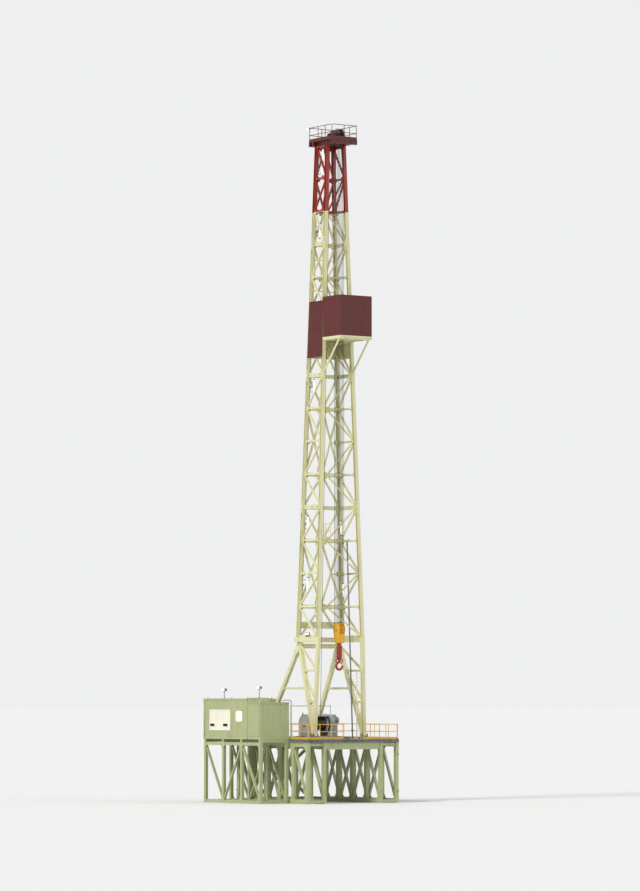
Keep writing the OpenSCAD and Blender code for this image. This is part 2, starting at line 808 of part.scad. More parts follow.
// Rotary table: a flanged ring in the floor with the bore for the pipe.
module rotary_table() {
    color(machine_grey) in_frame() translate([0, -well_y, 0]) difference() {
        union() {
            translate([0, 0, floor_z - deck_t]) cylinder(h = deck_t + 2, r = rotary_r + 120 - seat, $fn = 96);
            translate([0, 0, floor_z + seat]) cylinder(h = rotary_h, r = rotary_r + 230, $fn = 96);
        }
        translate([0, 0, floor_z - deck_t - 1]) cylinder(h = deck_t + rotary_h + 4, r = rotary_r, $fn = 96);
    }
}

// Hoist with its drum between two housings on a skid, and its motor beside them.
module drawworks() {
    front = -360;
    length = 900;
    rail = 120;
    drum_flange = [320, 30, 330];
    box_w = 520;
    color(machine_grey) in_frame() translate([0, drum_y, floor_z + seat]) union() {
        for (x = [-hoist_half, hoist_half - rail]) translate([x, front, 0]) cube([rail, length, hoist_skid]);
        for (y = [front, front + length - rail])
            translate([-hoist_half, y, 0]) cube([2 * hoist_half, rail, hoist_skid]);
        for (s = [-1, 1]) translate([s * (hoist_half - housing_w / 2), 0, 0]) rotate([90, 0, 90])
            linear_extrude(height = housing_w, center = true) union() {
                translate([0, drum_up]) circle(r = housing_r, $fn = 64);
                translate([-housing_r, hoist_skid - 20]) square([2 * housing_r, drum_up - hoist_skid + 20]);
            }
        translate([0, 0, drum_up]) rotate([0, 90, 0])
            cylinder(h = 2 * hoist_half - 40, r = drum_r, center = true, $fn = 64);
        for (s = [-1, 1]) translate([s * drum_flange[2], 0, drum_up]) rotate([0, 90, 0])
            cylinder(h = drum_flange[1], r = drum_flange[0], center = true, $fn = 64);
        translate([-box_w / 2, front + length - rail - 20, hoist_skid - 20]) cube([box_w, rail, drum_up]);
        translate([hoist_half - 20, 0, motor_up]) rotate([0, 90, 0])
            cylinder(h = motor_len + 20, r = motor_r, $fn = 48);
        translate([hoist_half - 20, -motor_r * 0.7, 0]) cube([motor_len - 20, motor_r * 1.4, motor_up]);
    }
}

// Run of handrail from p to q on the floor, with posts no further apart than rail_post.
module handrail(p, q) {
    rail_post = 620;
    n = ceil(norm(q - p) / rail_post);
    base = floor_z + seat;
    for (h = [rail_h / 2, rail_h - rail_r])
        rod([p[0], p[1], base + h], [q[0], q[1], base + h], rail_r, 8);
    for (i = [0:n]) {
        c = p + (q - p) * i / n;
        rod([c[0], c[1], base], [c[0], c[1], base + rail_h - rail_r], rail_r, 8);
    }
}

// Straight runs that stand beside each other at the corners.
module floor_handrails() {
    x = floor_half_w - rail_in;
    front = -floor_front + rail_in;
    rear = floor_rear - rail_in;
    corner = 2 * rail_r + seat;
    color(safety_yellow) in_frame() {
        union() handrail([gate_half, front], [x - corner, front]);
        union() handrail([x, front], [x, rear]);
        union() handrail([x - corner, rear], [-x, rear]);
        union() handrail([-gate_half, front], [corner - x, front]);
        union() handrail([-x, front], [-x, short_y - vent_gap]);
    }
}

// Upright lattice frame in the plane x = const, from y to y + len.
module upright_frame(x, y, len, top, chord, t, bays) {
    pitch = (len - chord) / bays;
    translate([x, y, 0]) rotate([90, 0, 90]) union() {
        linear_extrude(height = t, center = true) union() {
            square([len, chord]);
            translate([0, top - chord]) square([len, chord]);
            for (i = [0:bays]) translate([i * pitch, 0]) square([chord, top]);
        }
        linear_extrude(height = t * 0.7, center = true) union() for (i = [0:bays - 1]) {
            low = i % 2 == 0 ? chord / 2 : top - chord / 2;
            bar2([i * pitch + chord / 2, low], [(i + 1) * pitch + chord / 2, top - low], chord * 0.6);
        }
    }
}

// Skid box under one side of the floor: two upright frames with cross bars between their posts.
module substructure(s) {
    outer = floor_half_w - 60;
    inner = floor_half_w - sub_w;
    len = floor_front + floor_rear;
    pitch = (len - sub_chord) / sub_bays;
    bar_w = 100;
    bar_len = outer - inner - sub_t - 2 * seat;
    color(sage) in_frame() {
        for (x = [outer, inner])
            upright_frame(s * x, -floor_front, len, sub_top, sub_chord, sub_t, sub_bays);
        for (i = [0:sub_bays], z = [20, sub_top - bar_w - 20])
            translate([s * (outer + inner) / 2 - bar_len / 2,
                -floor_front + i * pitch + (sub_chord - bar_w) / 2, z])
                cube([bar_len, bar_w, bar_w]);
    }
}

// Cross beams under the floor between the two boxes, and the rear cross frame.
module substructure_bracing() {
    half = floor_half_w - sub_w - sub_t / 2 - seat;
    color(sage) in_frame() {
        for (y = [-floor_front + first_cross_in, -well_y - rotary_r - cross_ahead,
            -well_y + rotary_r + cross_behind, rear_cross_y])
            translate([-half, y, sub_top - cross_beam_h]) cube([2 * half, cross_beam_w, cross_beam_h]);
        translate([0, floor_rear - end_cross_in, 0]) rotate([90, 0, 0]) union() {
            linear_extrude(height = cross_beam_w, center = true) union() {
                translate([-half, 0]) square([2 * half, cross_sill_h]);
                translate([-half, sub_top - cross_beam_h]) square([2 * half, cross_beam_h]);
            }
            linear_extrude(height = cross_brace_t, center = true) intersection() {
                union() {
                    bar2([-half - 50, 60], [half + 50, sub_top - 100], cross_brace_w);
                    bar2([-half - 50, sub_top - 100], [half + 50, 60], cross_brace_w);
                }
                translate([-half, 0]) square([2 * half, sub_top]);
            }
        }
    }
}

// Upright mud pipe inside the right side, with its bent top and the arms that hold it.
module standpipe() {
    low = side_at(0) + 40;
    high = side_at(foot_h + standpipe_up);
    collar = 30;
    color(machine_grey) in_frame() union() {
        translate([half_w_low, 0, base_z]) rotate([0, -lean_w, 0]) translate([-pipe_in, pipe_y, 0]) union() {
            translate([0, 0, low]) cylinder(h = high - low, r = pipe_r, $fn = 32);
            translate([0, -pipe_bend, high]) rotate([90, 0, 90]) rotate_extrude(angle = 150, $fn = 64)
                translate([pipe_bend, 0]) circle(r = pipe_r, $fn = 32);
            for (v = [low, high - 2 * collar])
                translate([0, 0, v]) cylinder(h = collar, r = pipe_r + 16, $fn = 32);
        }
        reach = pipe_in - girt_t / 2 - seat;
        for (k = [1:2]) on_side(1, reach, -girt_t / 2 - seat - reach / 2)
            translate([pipe_y - 15, side_v(k) - 20]) square([30, 40]);
    }
}

// Ladder with its stiles in one upright plane.
module ladder2(low, high) {
    for (s = [-1, 1]) translate([s * ladder_half - stile_w / 2, low]) square([stile_w, high - low]);
}

module rungs2(low, high, pitch) {
    for (v = [low + pitch / 2:pitch:high - pitch / 4])
        translate([-ladder_half, v]) square([2 * ladder_half, 14]);
}

// Ladder up the rear of the mast, and the one from the floor up to the right foot frame's upper tie.
module mast_ladder() {
    out = -(girt_t / 2 + seat + stile_w / 2);
    low = rear_v(8) + girt_w + 20;
    high = rear_v(12.85);
    foot_high = floor_z + upper_tie_h;
    arm_h = upper_tie_h - 200;
    color(cream) in_frame() {
        union() {
            on_rear(stile_w, out) ladder2(low, high);
            on_rear(14, out) rungs2(low, high, rung_pitch);
        }
        union() {
            translate([leg_ladder_x, leg_ladder_y, 0]) rotate([90, 0, 0]) {
                linear_extrude(height = stile_w, center = true) ladder2(floor_z + seat, foot_high);
                linear_extrude(height = 14, center = true) rungs2(floor_z, foot_high, rung_pitch * 0.75);
            }
            leg_face = foot_x - slope_w * arm_h - leg_t / 2 / cos(lean_w) - 2 * seat;
            translate([leg_ladder_x + ladder_half, leg_ladder_y - stile_w / 2, floor_z + arm_h])
                cube([leg_face - leg_ladder_x - ladder_half, stile_w, stile_w]);
        }
    }
}

// Vent pipe that rises beside the short cabin and turns down at its end, and a hose rail behind the hoist.
module floor_pipes() {
    y = short_y - 2.5 * vent_r;
    base = floor_z + seat;
    bend_z = floor_z + vent_h - vent_bend;
    tail = 120;
    color(machine_grey) in_frame() {
        union() {
            rod([vent_x, y, base], [vent_x, y, bend_z], vent_r);
            rod([vent_x - vent_bend, y, bend_z + vent_bend], [vent_end_x + vent_bend, y, bend_z + vent_bend], vent_r);
            rod([vent_end_x, y, bend_z], [vent_end_x, y, bend_z - tail], vent_r);
            for (e = [[vent_x - vent_bend, 0], [vent_end_x + vent_bend, 90]])
                translate([e[0], y, bend_z]) rotate([90, 0, 0]) rotate(e[1]) rotate_extrude(angle = 90, $fn = 48)
                    translate([vent_bend, 0]) circle(r = vent_r, $fn = 24);
            translate([vent_end_x - 15, y, bend_z - tail * 0.75]) cube([30, short_y - seat - y, 30]);
        }
        union() {
            z = floor_z + hose_rail_h;
            rod([hose_rail_x[0], hose_rail_y, z], [hose_rail_x[1], hose_rail_y, z], 14, 12);
            for (x = [hose_rail_x[0] + 20, (hose_rail_x[0] + hose_rail_x[1]) / 2, hose_rail_x[1] - 20])
                rod([x, hose_rail_y, base], [x, hose_rail_y, z], 12, 12);
        }
    }
}

// Small working platform at the front left leg.
module side_platform() {
    h = foot_h + side_platform_up;
    k = level_of(h);
    w = side_platform_w;
    edge = 14;
    x = [edge, w - edge];
    z = floor_z + h;
    color(cream) in_frame() translate([-half_w(k) + leg_t / 2 / cos(lean_w) + 2, -half_d(k) - w / 2, 0]) union() {
        translate([0, 0, z]) cube([w, w, 40]);
        for (c = [[x[0], x[0]], [x[1], x[0]], [x[1], x[1]]])
            rod([c[0], c[1], z + 20], [c[0], c[1], z + crown_rail_h], rail_r, 8);
        for (rise = [crown_rail_h / 2, crown_rail_h]) {
            rod([x[0], x[0], z + rise], [x[1], x[0], z + rise], rail_r, 8);
            rod([x[1], x[0], z + rise], [x[1], x[1], z + rise], rail_r, 8);
        }
    }
}

module mast_lamps() {
    length = tube_lamp_len;
    grip = length / 3.1;
    color("#f4f2e6") in_frame() for (lamp = LAMPS) {
        s = lamp[0];
        v = side_v(lamp[1]);
        y = min(lamp[2] * lamp_step, half_d(lamp[1]) - leg_w / 2 - 60);
        union() {
            on_side(s, tube_lamp_t, -(girt_t / 2 + seat + tube_lamp_off))
                translate([y - tube_lamp_w / 2, v - length / 2])
                square([tube_lamp_w, length]);
            on_side(s, lamp_strap_t, -(girt_t / 2 + seat + lamp_lap)) for (dv = [-grip, grip]) {
                edge = half_d((v + dv) * cos(lean_w) / bay) - leg_w / 2 - 2 * seat;
                translate([y, v + dv]) square([edge - y, lamp_strap_w]);
            }
        }
    }
}

module rounded_window(grow) {
    w = window_w / 2 - window_round;
    h = window_h / 2 - window_round;
    union() {
        square([2 * (w + window_round + grow), 2 * h], center = true);
        square([2 * w, 2 * (h + window_round + grow)], center = true);
        for (sx = [-1, 1], sy = [-1, 1]) translate([sx * w, sy * h]) circle(r = window_round + grow, $fn = 32);
    }
}

module at_window() {
    translate([cabin_x, window_y + window_w / 2, floor_z + window_low + window_h / 2]) rotate([90, 0, 90])
        children();
}

// Four walls of one cabin, open above and below.
module cabin_shell(y, len, h) {
    z = floor_z + cabin_base + 2 * seat;
    difference() {
        translate([cabin_x, y, z]) cube([cabin_w, len, h - cabin_base - roof_t - 3 * seat]);
        translate([cabin_x + cabin_wall, y + cabin_wall, z - 1])
            cube([cabin_w - 2 * cabin_wall, len - 2 * cabin_wall, h]);
    }
}

module doorway(y) {
    translate([cabin_x + cabin_w - 2 * cabin_wall, y, floor_z + cabin_base])
        cube([4 * cabin_wall, door_w, door_h]);
}

module cabin_walls() {
    color(sage) in_frame() difference() {
        cabin_shell(cabin_y, cabin_len, cabin_h);
        doorway(door_y);
        at_window() linear_extrude(height = 4 * cabin_wall, center = true) rounded_window(0);
    }
}

module cabin_roof() {
    color(sage) in_frame() translate([cabin_x, cabin_y, floor_z + cabin_h - roof_t])
        cube([cabin_w, cabin_len, roof_t]);
}

module cabin_floor() {
    color(machine_grey) in_frame() for (r = [[cabin_y, cabin_len], [short_y, short_cabin_len]])
        translate([cabin_x, r[0], floor_z + seat]) cube([cabin_w, r[1], cabin_base]);
}

module cabin_window() {
    color("#ffe9a8", 0.6) in_frame() at_window() translate([0, 0, cabin_wall / 2])
        linear_extrude(height = 10, center = true) rounded_window(-seat);
}

// Door leaf hooked back flat against the outside of the wall.
module cabin_door() {
    color(sage) in_frame() translate([cabin_x + cabin_w + seat, door_y + door_w + 4, floor_z + cabin_base + 10])
        cube([30, door_w, door_h - 20]);
}

module short_cabin_walls() {
    color(sage) in_frame() difference() {
        cabin_shell(short_y, short_cabin_len, short_cabin_h);
        doorway(short_y + (short_cabin_len - door_w) / 2);
    }
}

// Low roof with a raised box on its outer side.
module short_cabin_roof() {
    color(sage) in_frame() union() {
        translate([cabin_x, short_y, floor_z + short_cabin_h - roof_t])
            cube([cabin_w, short_cabin_len, roof_t]);
        translate([cabin_x, short_y, floor_z + short_cabin_h - 1])
            cube([roof_box_w, short_cabin_len, roof_box_h + 1]);
    }
}

// Two upright frames beside the floor, with cross beams on them that carry the cabins.
module cabin_supports() {
    beam = support_w;
    len = cabin_y + cabin_len - short_y;
    pitch = (len - beam) / support_bays;
    frame_top = floor_z - beam - seat;
    color(sage) in_frame() {
        for (x = [cabin_x + beam / 2, cabin_x + cabin_w - beam / 2])
            upright_frame(x, short_y, len, frame_top, beam, beam, support_bays);
        for (i = [0:support_bays]) {
            translate([cabin_x, short_y + i * pitch, floor_z - beam])
                cube([cabin_w + cabin_off - seat, beam, beam]);
            translate([cabin_x + beam + seat, short_y + i * pitch + 5, 0])
                cube([cabin_w - 2 * beam - 2 * seat, beam - 10, beam - 10]);
        }
    }
}

module sign_board() {
    color("#f2f0dc") in_frame() translate([cabin_x - sign_t - seat, sign_y, floor_z + sign_low])
        cube([sign_t, sign_len, sign_h]);
}

// Lamp on a short post on a cabin roof.
module cabin_lamp(x, y, base, rise) {
    rod([x, y, base + seat], [x, y, base + rise], lamp_post_r, 12);
    translate([x - lamp_w / 2, y - lamp_len / 2, base + rise - lamp_lap]) cube([lamp_w, lamp_len, lamp_h]);
}

module cabin_lamps() {
    color(machine_grey) in_frame() {
        union() cabin_lamp(cabin_x + cabin_lamp_in, sign_y + cabin_lamp_along, floor_z + cabin_h, cabin_lamp_rise);
        union() cabin_lamp(cabin_x + short_lamp_in, short_y + short_lamp_along,
            floor_z + short_cabin_h + roof_box_h, short_lamp_rise);
    }
}

module left_side_panel_lower() { color(cream) side_panel(-1, 0, 4); }
module left_side_panel_middle() { color(cream) side_panel(-1, 4, 8); }
module left_side_panel_upper() { color(cream) side_panel(-1, 8, 12); }
module left_side_panel_top() { color(oxide_red) side_panel(-1, 12, 15); }
module right_side_panel_lower() { color(cream) side_panel(1, 0, 4); }
module right_side_panel_middle() { color(cream) side_panel(1, 4, 8); }
module right_side_panel_upper() { color(cream) side_panel(1, 8, 12); }
module right_side_panel_top() { color(oxide_red) side_panel(1, 12, 15); }
module rear_panel_lower() {
    color(cream) rear_panel(0, 4, [1, 3], [[0, 1], [4, 3]], [1], [4]);
}
module rear_panel_middle() {
    color(cream) rear_panel(4, 8, [5, 7], [[4, 5], [8, 7]], [5], [4, 8]);
}
module rear_panel_upper() {
    color(cream) rear_panel(8, 12, [9, 11], [[8, 9], [10, 9], [10, 11], [12, 11]], [], [8, 12]);
}
module rear_panel_top() {
    color(oxide_red) rear_panel(12, 15, [13], [[12, 13], [14, 13], [14, 15]], [], [12, 15]);
}
module knee_braces_left() { color(cream) knee_braces(-1); }
module knee_braces_right() { color(cream) knee_braces(1); }
module foot_frame_left() { color(cream) foot_frame(-1); }
module foot_frame_right() { color(cream) foot_frame(1); }
module rear_leg_left() { color(cream) rear_leg(-1); }
module rear_leg_right() { color(cream) rear_leg(1); }
module substructure_left() { substructure(-1); }
module substructure_right() { substructure(1); }

left_side_panel_lower();
left_side_panel_middle();
left_side_panel_upper();
left_side_panel_top();
right_side_panel_lower();
right_side_panel_middle();
right_side_panel_upper();
right_side_panel_top();
rear_panel_lower();
rear_panel_middle();
rear_panel_upper();
rear_panel_top();
knee_braces_left();
knee_braces_right();
foot_frame_left();
foot_frame_right();
rear_leg_left();
rear_leg_right();
ring_beam();
spreader_beam();
rear_girder();
leg_shoes();
racking_board();
board_windwall();
mast_windwalls();
board_struts();
crown_frame();
crown_platform();
crown_sheaves();
crown_lamp();
travelling_block();
hook();
drilling_lines();
fast_line();
drill_floor();
rotary_table();
drawworks();
floor_handrails();
substructure_left();
substructure_right();
substructure_bracing();
standpipe();
mast_ladder();
side_platform();
mast_lamps();
floor_pipes();
cabin_walls();
cabin_roof();
cabin_floor();
cabin_window();
cabin_door();
short_cabin_walls();
short_cabin_roof();
cabin_supports();
sign_board();
cabin_lamps();
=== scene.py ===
import math
import bpy
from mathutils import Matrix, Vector


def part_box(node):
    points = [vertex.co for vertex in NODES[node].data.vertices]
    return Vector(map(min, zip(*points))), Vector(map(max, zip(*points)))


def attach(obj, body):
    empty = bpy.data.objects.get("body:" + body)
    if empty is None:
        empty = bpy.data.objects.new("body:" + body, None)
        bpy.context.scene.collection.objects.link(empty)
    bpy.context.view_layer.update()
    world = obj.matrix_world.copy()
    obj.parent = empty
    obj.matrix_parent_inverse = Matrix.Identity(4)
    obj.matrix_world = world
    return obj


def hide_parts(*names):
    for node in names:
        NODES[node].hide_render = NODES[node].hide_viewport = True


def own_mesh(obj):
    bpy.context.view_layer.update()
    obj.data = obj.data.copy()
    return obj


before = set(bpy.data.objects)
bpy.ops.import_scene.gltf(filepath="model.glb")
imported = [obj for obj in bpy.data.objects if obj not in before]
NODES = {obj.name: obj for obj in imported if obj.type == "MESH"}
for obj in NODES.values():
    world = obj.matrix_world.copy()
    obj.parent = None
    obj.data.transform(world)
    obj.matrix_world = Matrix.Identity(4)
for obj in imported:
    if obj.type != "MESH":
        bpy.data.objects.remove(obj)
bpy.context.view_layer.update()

# Sizes in mm of part.scad's own frame
floor_lo, floor_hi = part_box("drill_floor")
FLOOR_HALF_W, FLOOR_FRONT, FLOOR_REAR, FLOOR_Z = 2000.0, 1450.0, 3100.0, 2286.0
FLOOR_ENDS = ((-FLOOR_FRONT, -1), (FLOOR_REAR, 1))
SHIFT_X = (floor_lo.x + floor_hi.x) * 500
SHIFT_Y = floor_lo.y * 1000 + FLOOR_FRONT
FOOT_H, BAY, LEVELS = 3585.0, 1197.5, 15
BASE_Z = FLOOR_Z + FOOT_H
HALF_W_LOW, HALF_W_TOP, HALF_D_LOW, HALF_D_TOP = 971.0, 362.5, 637.5, 327.5
LEG_W, LEG_T, GIRT_T = 110, 130, 76
SLOPE_W = (HALF_W_LOW - HALF_W_TOP) / (LEVELS * BAY)
SLOPE_D = (HALF_D_LOW - HALF_D_TOP) / (LEVELS * BAY)
LEAN_W, LEAN_D = math.atan(SLOPE_W), math.atan(SLOPE_D)
WELL_Y = 560.0
BOARD_H = FOOT_H + 10915
CROWN_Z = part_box("crown_frame")[1].z * 1000
SHEAVE_R, SHEAVE_PITCH, LINE_R = 175.0, 58.0, 8
AXLE_UP = SHEAVE_R + 60
AXLE_Z = CROWN_Z + AXLE_UP
FAST_Y = 2 * SHEAVE_R + 60 - WELL_Y
ROPE_R = SHEAVE_R - LINE_R - 2
BLOCK_Z = FLOOR_Z + 3970
FOOT_Y, REAR_FOOT_Y, PIN_H, PIN_R, RING_W = 560.0, 2590.0, 130.0, 45.0, 175.0
A_TOP_X, A_TOP_Y, A_HEAD_H = 845.0, 745.0, FOOT_H - 165
A_RISE = FOOT_H - PIN_H
PIN_X = HALF_W_LOW + SLOPE_W * A_RISE
A_SLOPE = (PIN_X - A_TOP_X) / A_RISE
A_LEAN = math.atan(A_SLOPE)
BEAM_LOW_H, BEAM_HIGH_H = FOOT_H - RING_W / 2, FOOT_H + RING_W / 2
TIE_H, UPPER_TIE_H, LOWER_TIE_H = 1830.0, 2465.0, 1335.0
DRUM_Y, DRUM_UP, DRUM_R = 850.0, 530.4, 200.0
GIRDER_H = 4115.0
CROWN_HALF, CROWN_FRONT, CROWN_REAR, RAIL_UP = 560.0, 900.0, 560.0, 550.0
CABIN_W, CABIN_H, SHORT_H = 1220.0, 1450.0, 1322.0
CX0, CY0, CY1 = -3270.0, 500.0, 3340.0
CX1 = CX0 + CABIN_W
SY0, SY1 = -320.0, 480.0
SIDES = (-1, 1)
UP = (0, 0, 1)


def half_w(k):
    return HALF_W_LOW - SLOPE_W * BAY * k


def half_d(k):
    return HALF_D_LOW - SLOPE_D * BAY * k


def side_v(k):
    return BAY * k / math.cos(LEAN_W)


def rear_v(k):
    return BAY * k / math.cos(LEAN_D)


def side_at(h):
    return (h - FOOT_H) / math.cos(LEAN_W)


def on_side(s):
    """Maps (y, up the plane, out of it) to space, for the mast's left (-1) or right (1) side."""
    c, n = math.cos(LEAN_W), math.sin(LEAN_W)
    return lambda y, v, out: (s * (HALF_W_LOW + out * c - v * n), y, BASE_Z + out * n + v * c)


def on_rear(x, v, out):
    c, n = math.cos(LEAN_D), math.sin(LEAN_D)
    return (x, HALF_D_LOW + out * c - v * n, BASE_Z + out * n + v * c)


def on_a_frame(s):
    """The same for the plane of the slanted and rear legs, whose origin is on the foot pins."""
    c, n = math.cos(A_LEAN), math.sin(A_LEAN)
    return lambda y, v, out: (s * (PIN_X + out * c - v * n), y, FLOOR_Z + PIN_H + out * n + v * c)


def a_at(h):
    return (h - PIN_H) / math.cos(A_LEAN)


def slanted_y(h):
    return A_TOP_Y - (A_TOP_Y + FOOT_Y) * (FOOT_H - h) / A_RISE


def rear_leg_y(h):
    return REAR_FOOT_Y + (slanted_y(A_HEAD_H) - REAR_FOOT_Y) * (h - PIN_H) / (A_HEAD_H - PIN_H)


def front_leg_y(h):
    return -HALF_D_LOW + (HALF_D_LOW - FOOT_Y) * (FOOT_H - h) / A_RISE


def along_z(p, q, h):
    return (p, q, h)


def along_y(p, q, h):
    return (p, h, q)


def along_x(p, q, h):
    return (h, p, q)


def on_west(p, q, h):
    """The cabins' left wall: (y, z, out of it)."""
    return (CX0 - h, p, q)


def outward(place):
    """Direction out of a placed plane."""
    return Vector(place(0, 0, 1)) - Vector(place(0, 0, 0))


def metres(p):
    return Vector(((p[0] + SHIFT_X) / 1000, (p[1] + SHIFT_Y) / 1000, p[2] / 1000))


def spread(a, b, n):
    """n even steps from a to b."""
    return [a + (b - a) * i / (n - 1) for i in range(n)]


def circle(n, r=1.0, start=0.0):
    """n points round a circle. start is the first one's place, in steps."""
    return [(r * math.cos(t), r * math.sin(t)) for t in (2 * math.pi * (i + start) / n for i in range(n))]


def polar(centre, r, angle):
    """Point round an axis along x, in degrees from +Y towards +Z."""
    t = math.radians(angle)
    return (centre[0], centre[1] + r * math.cos(t), centre[2] + r * math.sin(t))


def arc(centre, r, a0, a1, n=16):
    return [polar(centre, r, a) for a in spread(a0, a1, n + 1)]


def rect(x0, y0, x1, y1):
    return [(x0, y0), (x1, y0), (x1, y1), (x0, y1)]


def rounded(cx, cy, w, h, r, n=6):
    """Rounded rectangle outline."""
    return [(cx + sx * (w / 2 - r) + r * math.cos(t), cy + sy * (h / 2 - r) + r * math.sin(t))
            for sx, sy, start in ((1, 1, 0), (-1, 1, 90), (-1, -1, 180), (1, -1, 270))
            for t in [math.radians(a) for a in spread(start, start + 90, n + 1)]]


def link(name, data):
    obj = bpy.data.objects.new(name, data)
    bpy.context.scene.collection.objects.link(obj)
    return obj


BOLTS = {}


class Form:
    """Collects the faces of one piece in mm above a base height, then makes it an object in metres."""

    def __init__(self, name, base=0.0, heads="mast_bolt_heads"):
        self.name, self.base, self.heads, self.mat = name, base, heads, 0
        self.verts, self.faces, self.smooth, self.uvs, self.mats = [], [], [], [], []

    def lifted(self, p):
        return metres((p[0], p[1], p[2] + self.base))

    def bolt(self, point, normal):
        """Notes a bolt head of this form's kind at a point on a face."""
        BOLTS.setdefault(self.heads, []).append((self.lifted(point), Vector(normal).normalized()))

    def add(self, points, faces, smooth=False, uvs=None):
        """Adds one closed solid, with its faces turned outwards."""
        o, volume = points[0], 0.0
        for f in faces:
            a, *rest = [[points[j][i] - o[i] for i in range(3)] for j in f]
            for b, c in zip(rest, rest[1:]):
                volume += (a[0] * (b[1] * c[2] - b[2] * c[1]) + a[1] * (b[2] * c[0] - b[0] * c[2])
                           + a[2] * (b[0] * c[1] - b[1] * c[0]))
        if volume < 0:
            faces = [f[::-1] for f in faces]
            uvs = [u[::-1] for u in uvs] if uvs else None
        base = len(self.verts)
        self.verts += points
        for i, f in enumerate(faces):
            self.faces.append([base + j for j in f])
            self.smooth.append(smooth if isinstance(smooth, bool) else smooth[i])
            self.uvs.append(uvs[i] if uvs else [(0, 0)] * len(f))
            self.mats.append(self.mat)

    def prism(self, outline, low, high, place=along_z):
        """Extrudes an outline between two heights along the third axis of the placed frame."""
        n = len(outline)
        faces = [list(range(n))[::-1], list(range(n, 2 * n))]
        faces += [[i, (i + 1) % n, n + (i + 1) % n, n + i] for i in range(n)]
        self.add([place(*p, h) for h in (low, high) for p in outline], faces)

    def frame(self, outer, inner, low, high, place=along_z):
        """A rim between two outlines with the same number of points."""
        n, faces = len(outer), []
        for i in range(n):
            j = (i + 1) % n
            faces += [[i, j, n + j, n + i], [2 * n + j, 2 * n + i, 3 * n + i, 3 * n + j],
                      [j, i, 2 * n + i, 2 * n + j], [n + i, n + j, 3 * n + j, 3 * n + i]]
        self.add([place(*p, h) for h in (low, high) for loop in (outer, inner) for p in loop], faces)

    def box(self, p, q, place=along_z):
        self.prism(rect(p[0], p[1], q[0], q[1]), p[2], q[2], place)

    def pair(self, place, outline, inner, t, bolts=()):
        """The same plate on both faces of a member, with bolt heads at places on it."""
        for face in SIDES:
            self.prism(outline, face * inner, face * (inner + t), place)
            for p, q in bolts:
                self.bolt(place(p, q, face * (inner + t)), outward(place) * face)

    def tube(self, path, r, n=10, closed=False):
        """Round tube along a path, with UVs: u round it, v along it in metres."""
        path = [Vector(p) for p in path]
        count = len(path)
        points, lengths, side, length = [], [], None, 0.0
        for i, p in enumerate(path):
            ahead = path[(i + 1) % count] if closed else path[min(i + 1, count - 1)]
            d = (ahead - (path[i - 1] if closed or i else p)).normalized()
            if side is None:
                side = d.orthogonal().normalized()
            else:
                side = (side - d * side.dot(d)).normalized()
                length += (p - path[i - 1]).length / 1000
            other = d.cross(side)
            lengths.append(length)
            radius = r[i] if isinstance(r, list) else r
            points += [tuple(p + (side * x + other * y) * radius) for x, y in circle(n)]
        faces, uvs = [], []
        for i in range(count if closed else count - 1):
            m = (i + 1) % count
            v0, v1 = lengths[i], lengths[m] if m else length
            for j in range(n):
                k = (j + 1) % n
                faces.append([i * n + j, i * n + k, m * n + k, m * n + j])
                uvs.append([(j / n, v0), ((j + 1) / n, v0), ((j + 1) / n, v1), (j / n, v1)])
        smooth = [True] * len(faces)
        if not closed:
            faces += [list(range(n))[::-1], [(count - 1) * n + j for j in range(n)]]
            uvs += [[(0, 0)] * n] * 2
            smooth += [False, False]
        self.add(points, faces, smooth, uvs)

    def rod(self, p, q, r, n=10):
        self.tube([p, q], r, n)

    def lathe(self, centre, axis, profile, n=48, smooth=True, closed=False):
        """Turns a profile of (along, radius) about an axis through centre."""
        centre, axis = Vector(centre), Vector(axis).normalized()
        a = axis.orthogonal().normalized()
        b = axis.cross(a)
        points = [tuple(centre + axis * along + (a * x + b * y) * radius)
                  for along, radius in profile for x, y in circle(n)]
        m = len(profile)
        faces, kinds = [], []
        for i in range(m if closed else m - 1):
            i2 = (i + 1) % m
            faces += [[i * n + j, i * n + (j + 1) % n, i2 * n + (j + 1) % n, i2 * n + j] for j in range(n)]
            kinds += [smooth and (not closed or i % 2 == 1)] * n
        if not closed:
            caps = [list(range(n))[::-1]] * (profile[0][1] > 0.01)
            caps += [[(m - 1) * n + j for j in range(n)]] * (profile[-1][1] > 0.01)
            faces, kinds = faces + caps, kinds + [False] * len(caps)
        self.add(points, faces, kinds)

    def ring(self, centre, axis, r_in, r_out, low, high, n=48):
        """Closed ring with a rectangular section."""
        self.lathe(centre, axis, [(low, r_in), (low, r_out), (high, r_out), (high, r_in)], n, closed=True)

    def make(self, *materials, body="root", slot="mast_paint", replaces=()):
        mesh = bpy.data.meshes.new(self.name)
        mesh.from_pydata([self.lifted(v) for v in self.verts], [], self.faces)
        mesh.polygons.foreach_set("use_smooth", self.smooth)
        mesh.polygons.foreach_set("material_index", self.mats)
        layer = mesh.uv_layers.new(name="UVMap")
        layer.data.foreach_set("uv", [c for face in self.uvs for uv in face for c in uv])
        for m in materials:
            mesh.materials.append(m)
        mesh.update()
        obj = link(self.name, mesh)
        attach(obj, body)
        if replaces:
            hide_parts(*replaces)
        return obj


class Val:
    """A shader socket that takes part in sums."""

    def __init__(self, net, socket):
        self.net, self.socket = net, socket

    def __rsub__(self, o):
        return self.net.math("SUBTRACT", o, self)

    def clip(self):
        return self.net.node("ShaderNodeClamp", {"Value": self})["Result"]

    def between(self, a, b):
        """0 below a, 1 above b, smooth between."""
        return self.net.node("ShaderNodeMapRange", {"Value": self, "From Min": a, "From Max": b},
                             interpolation_type="SMOOTHSTEP")["Result"]


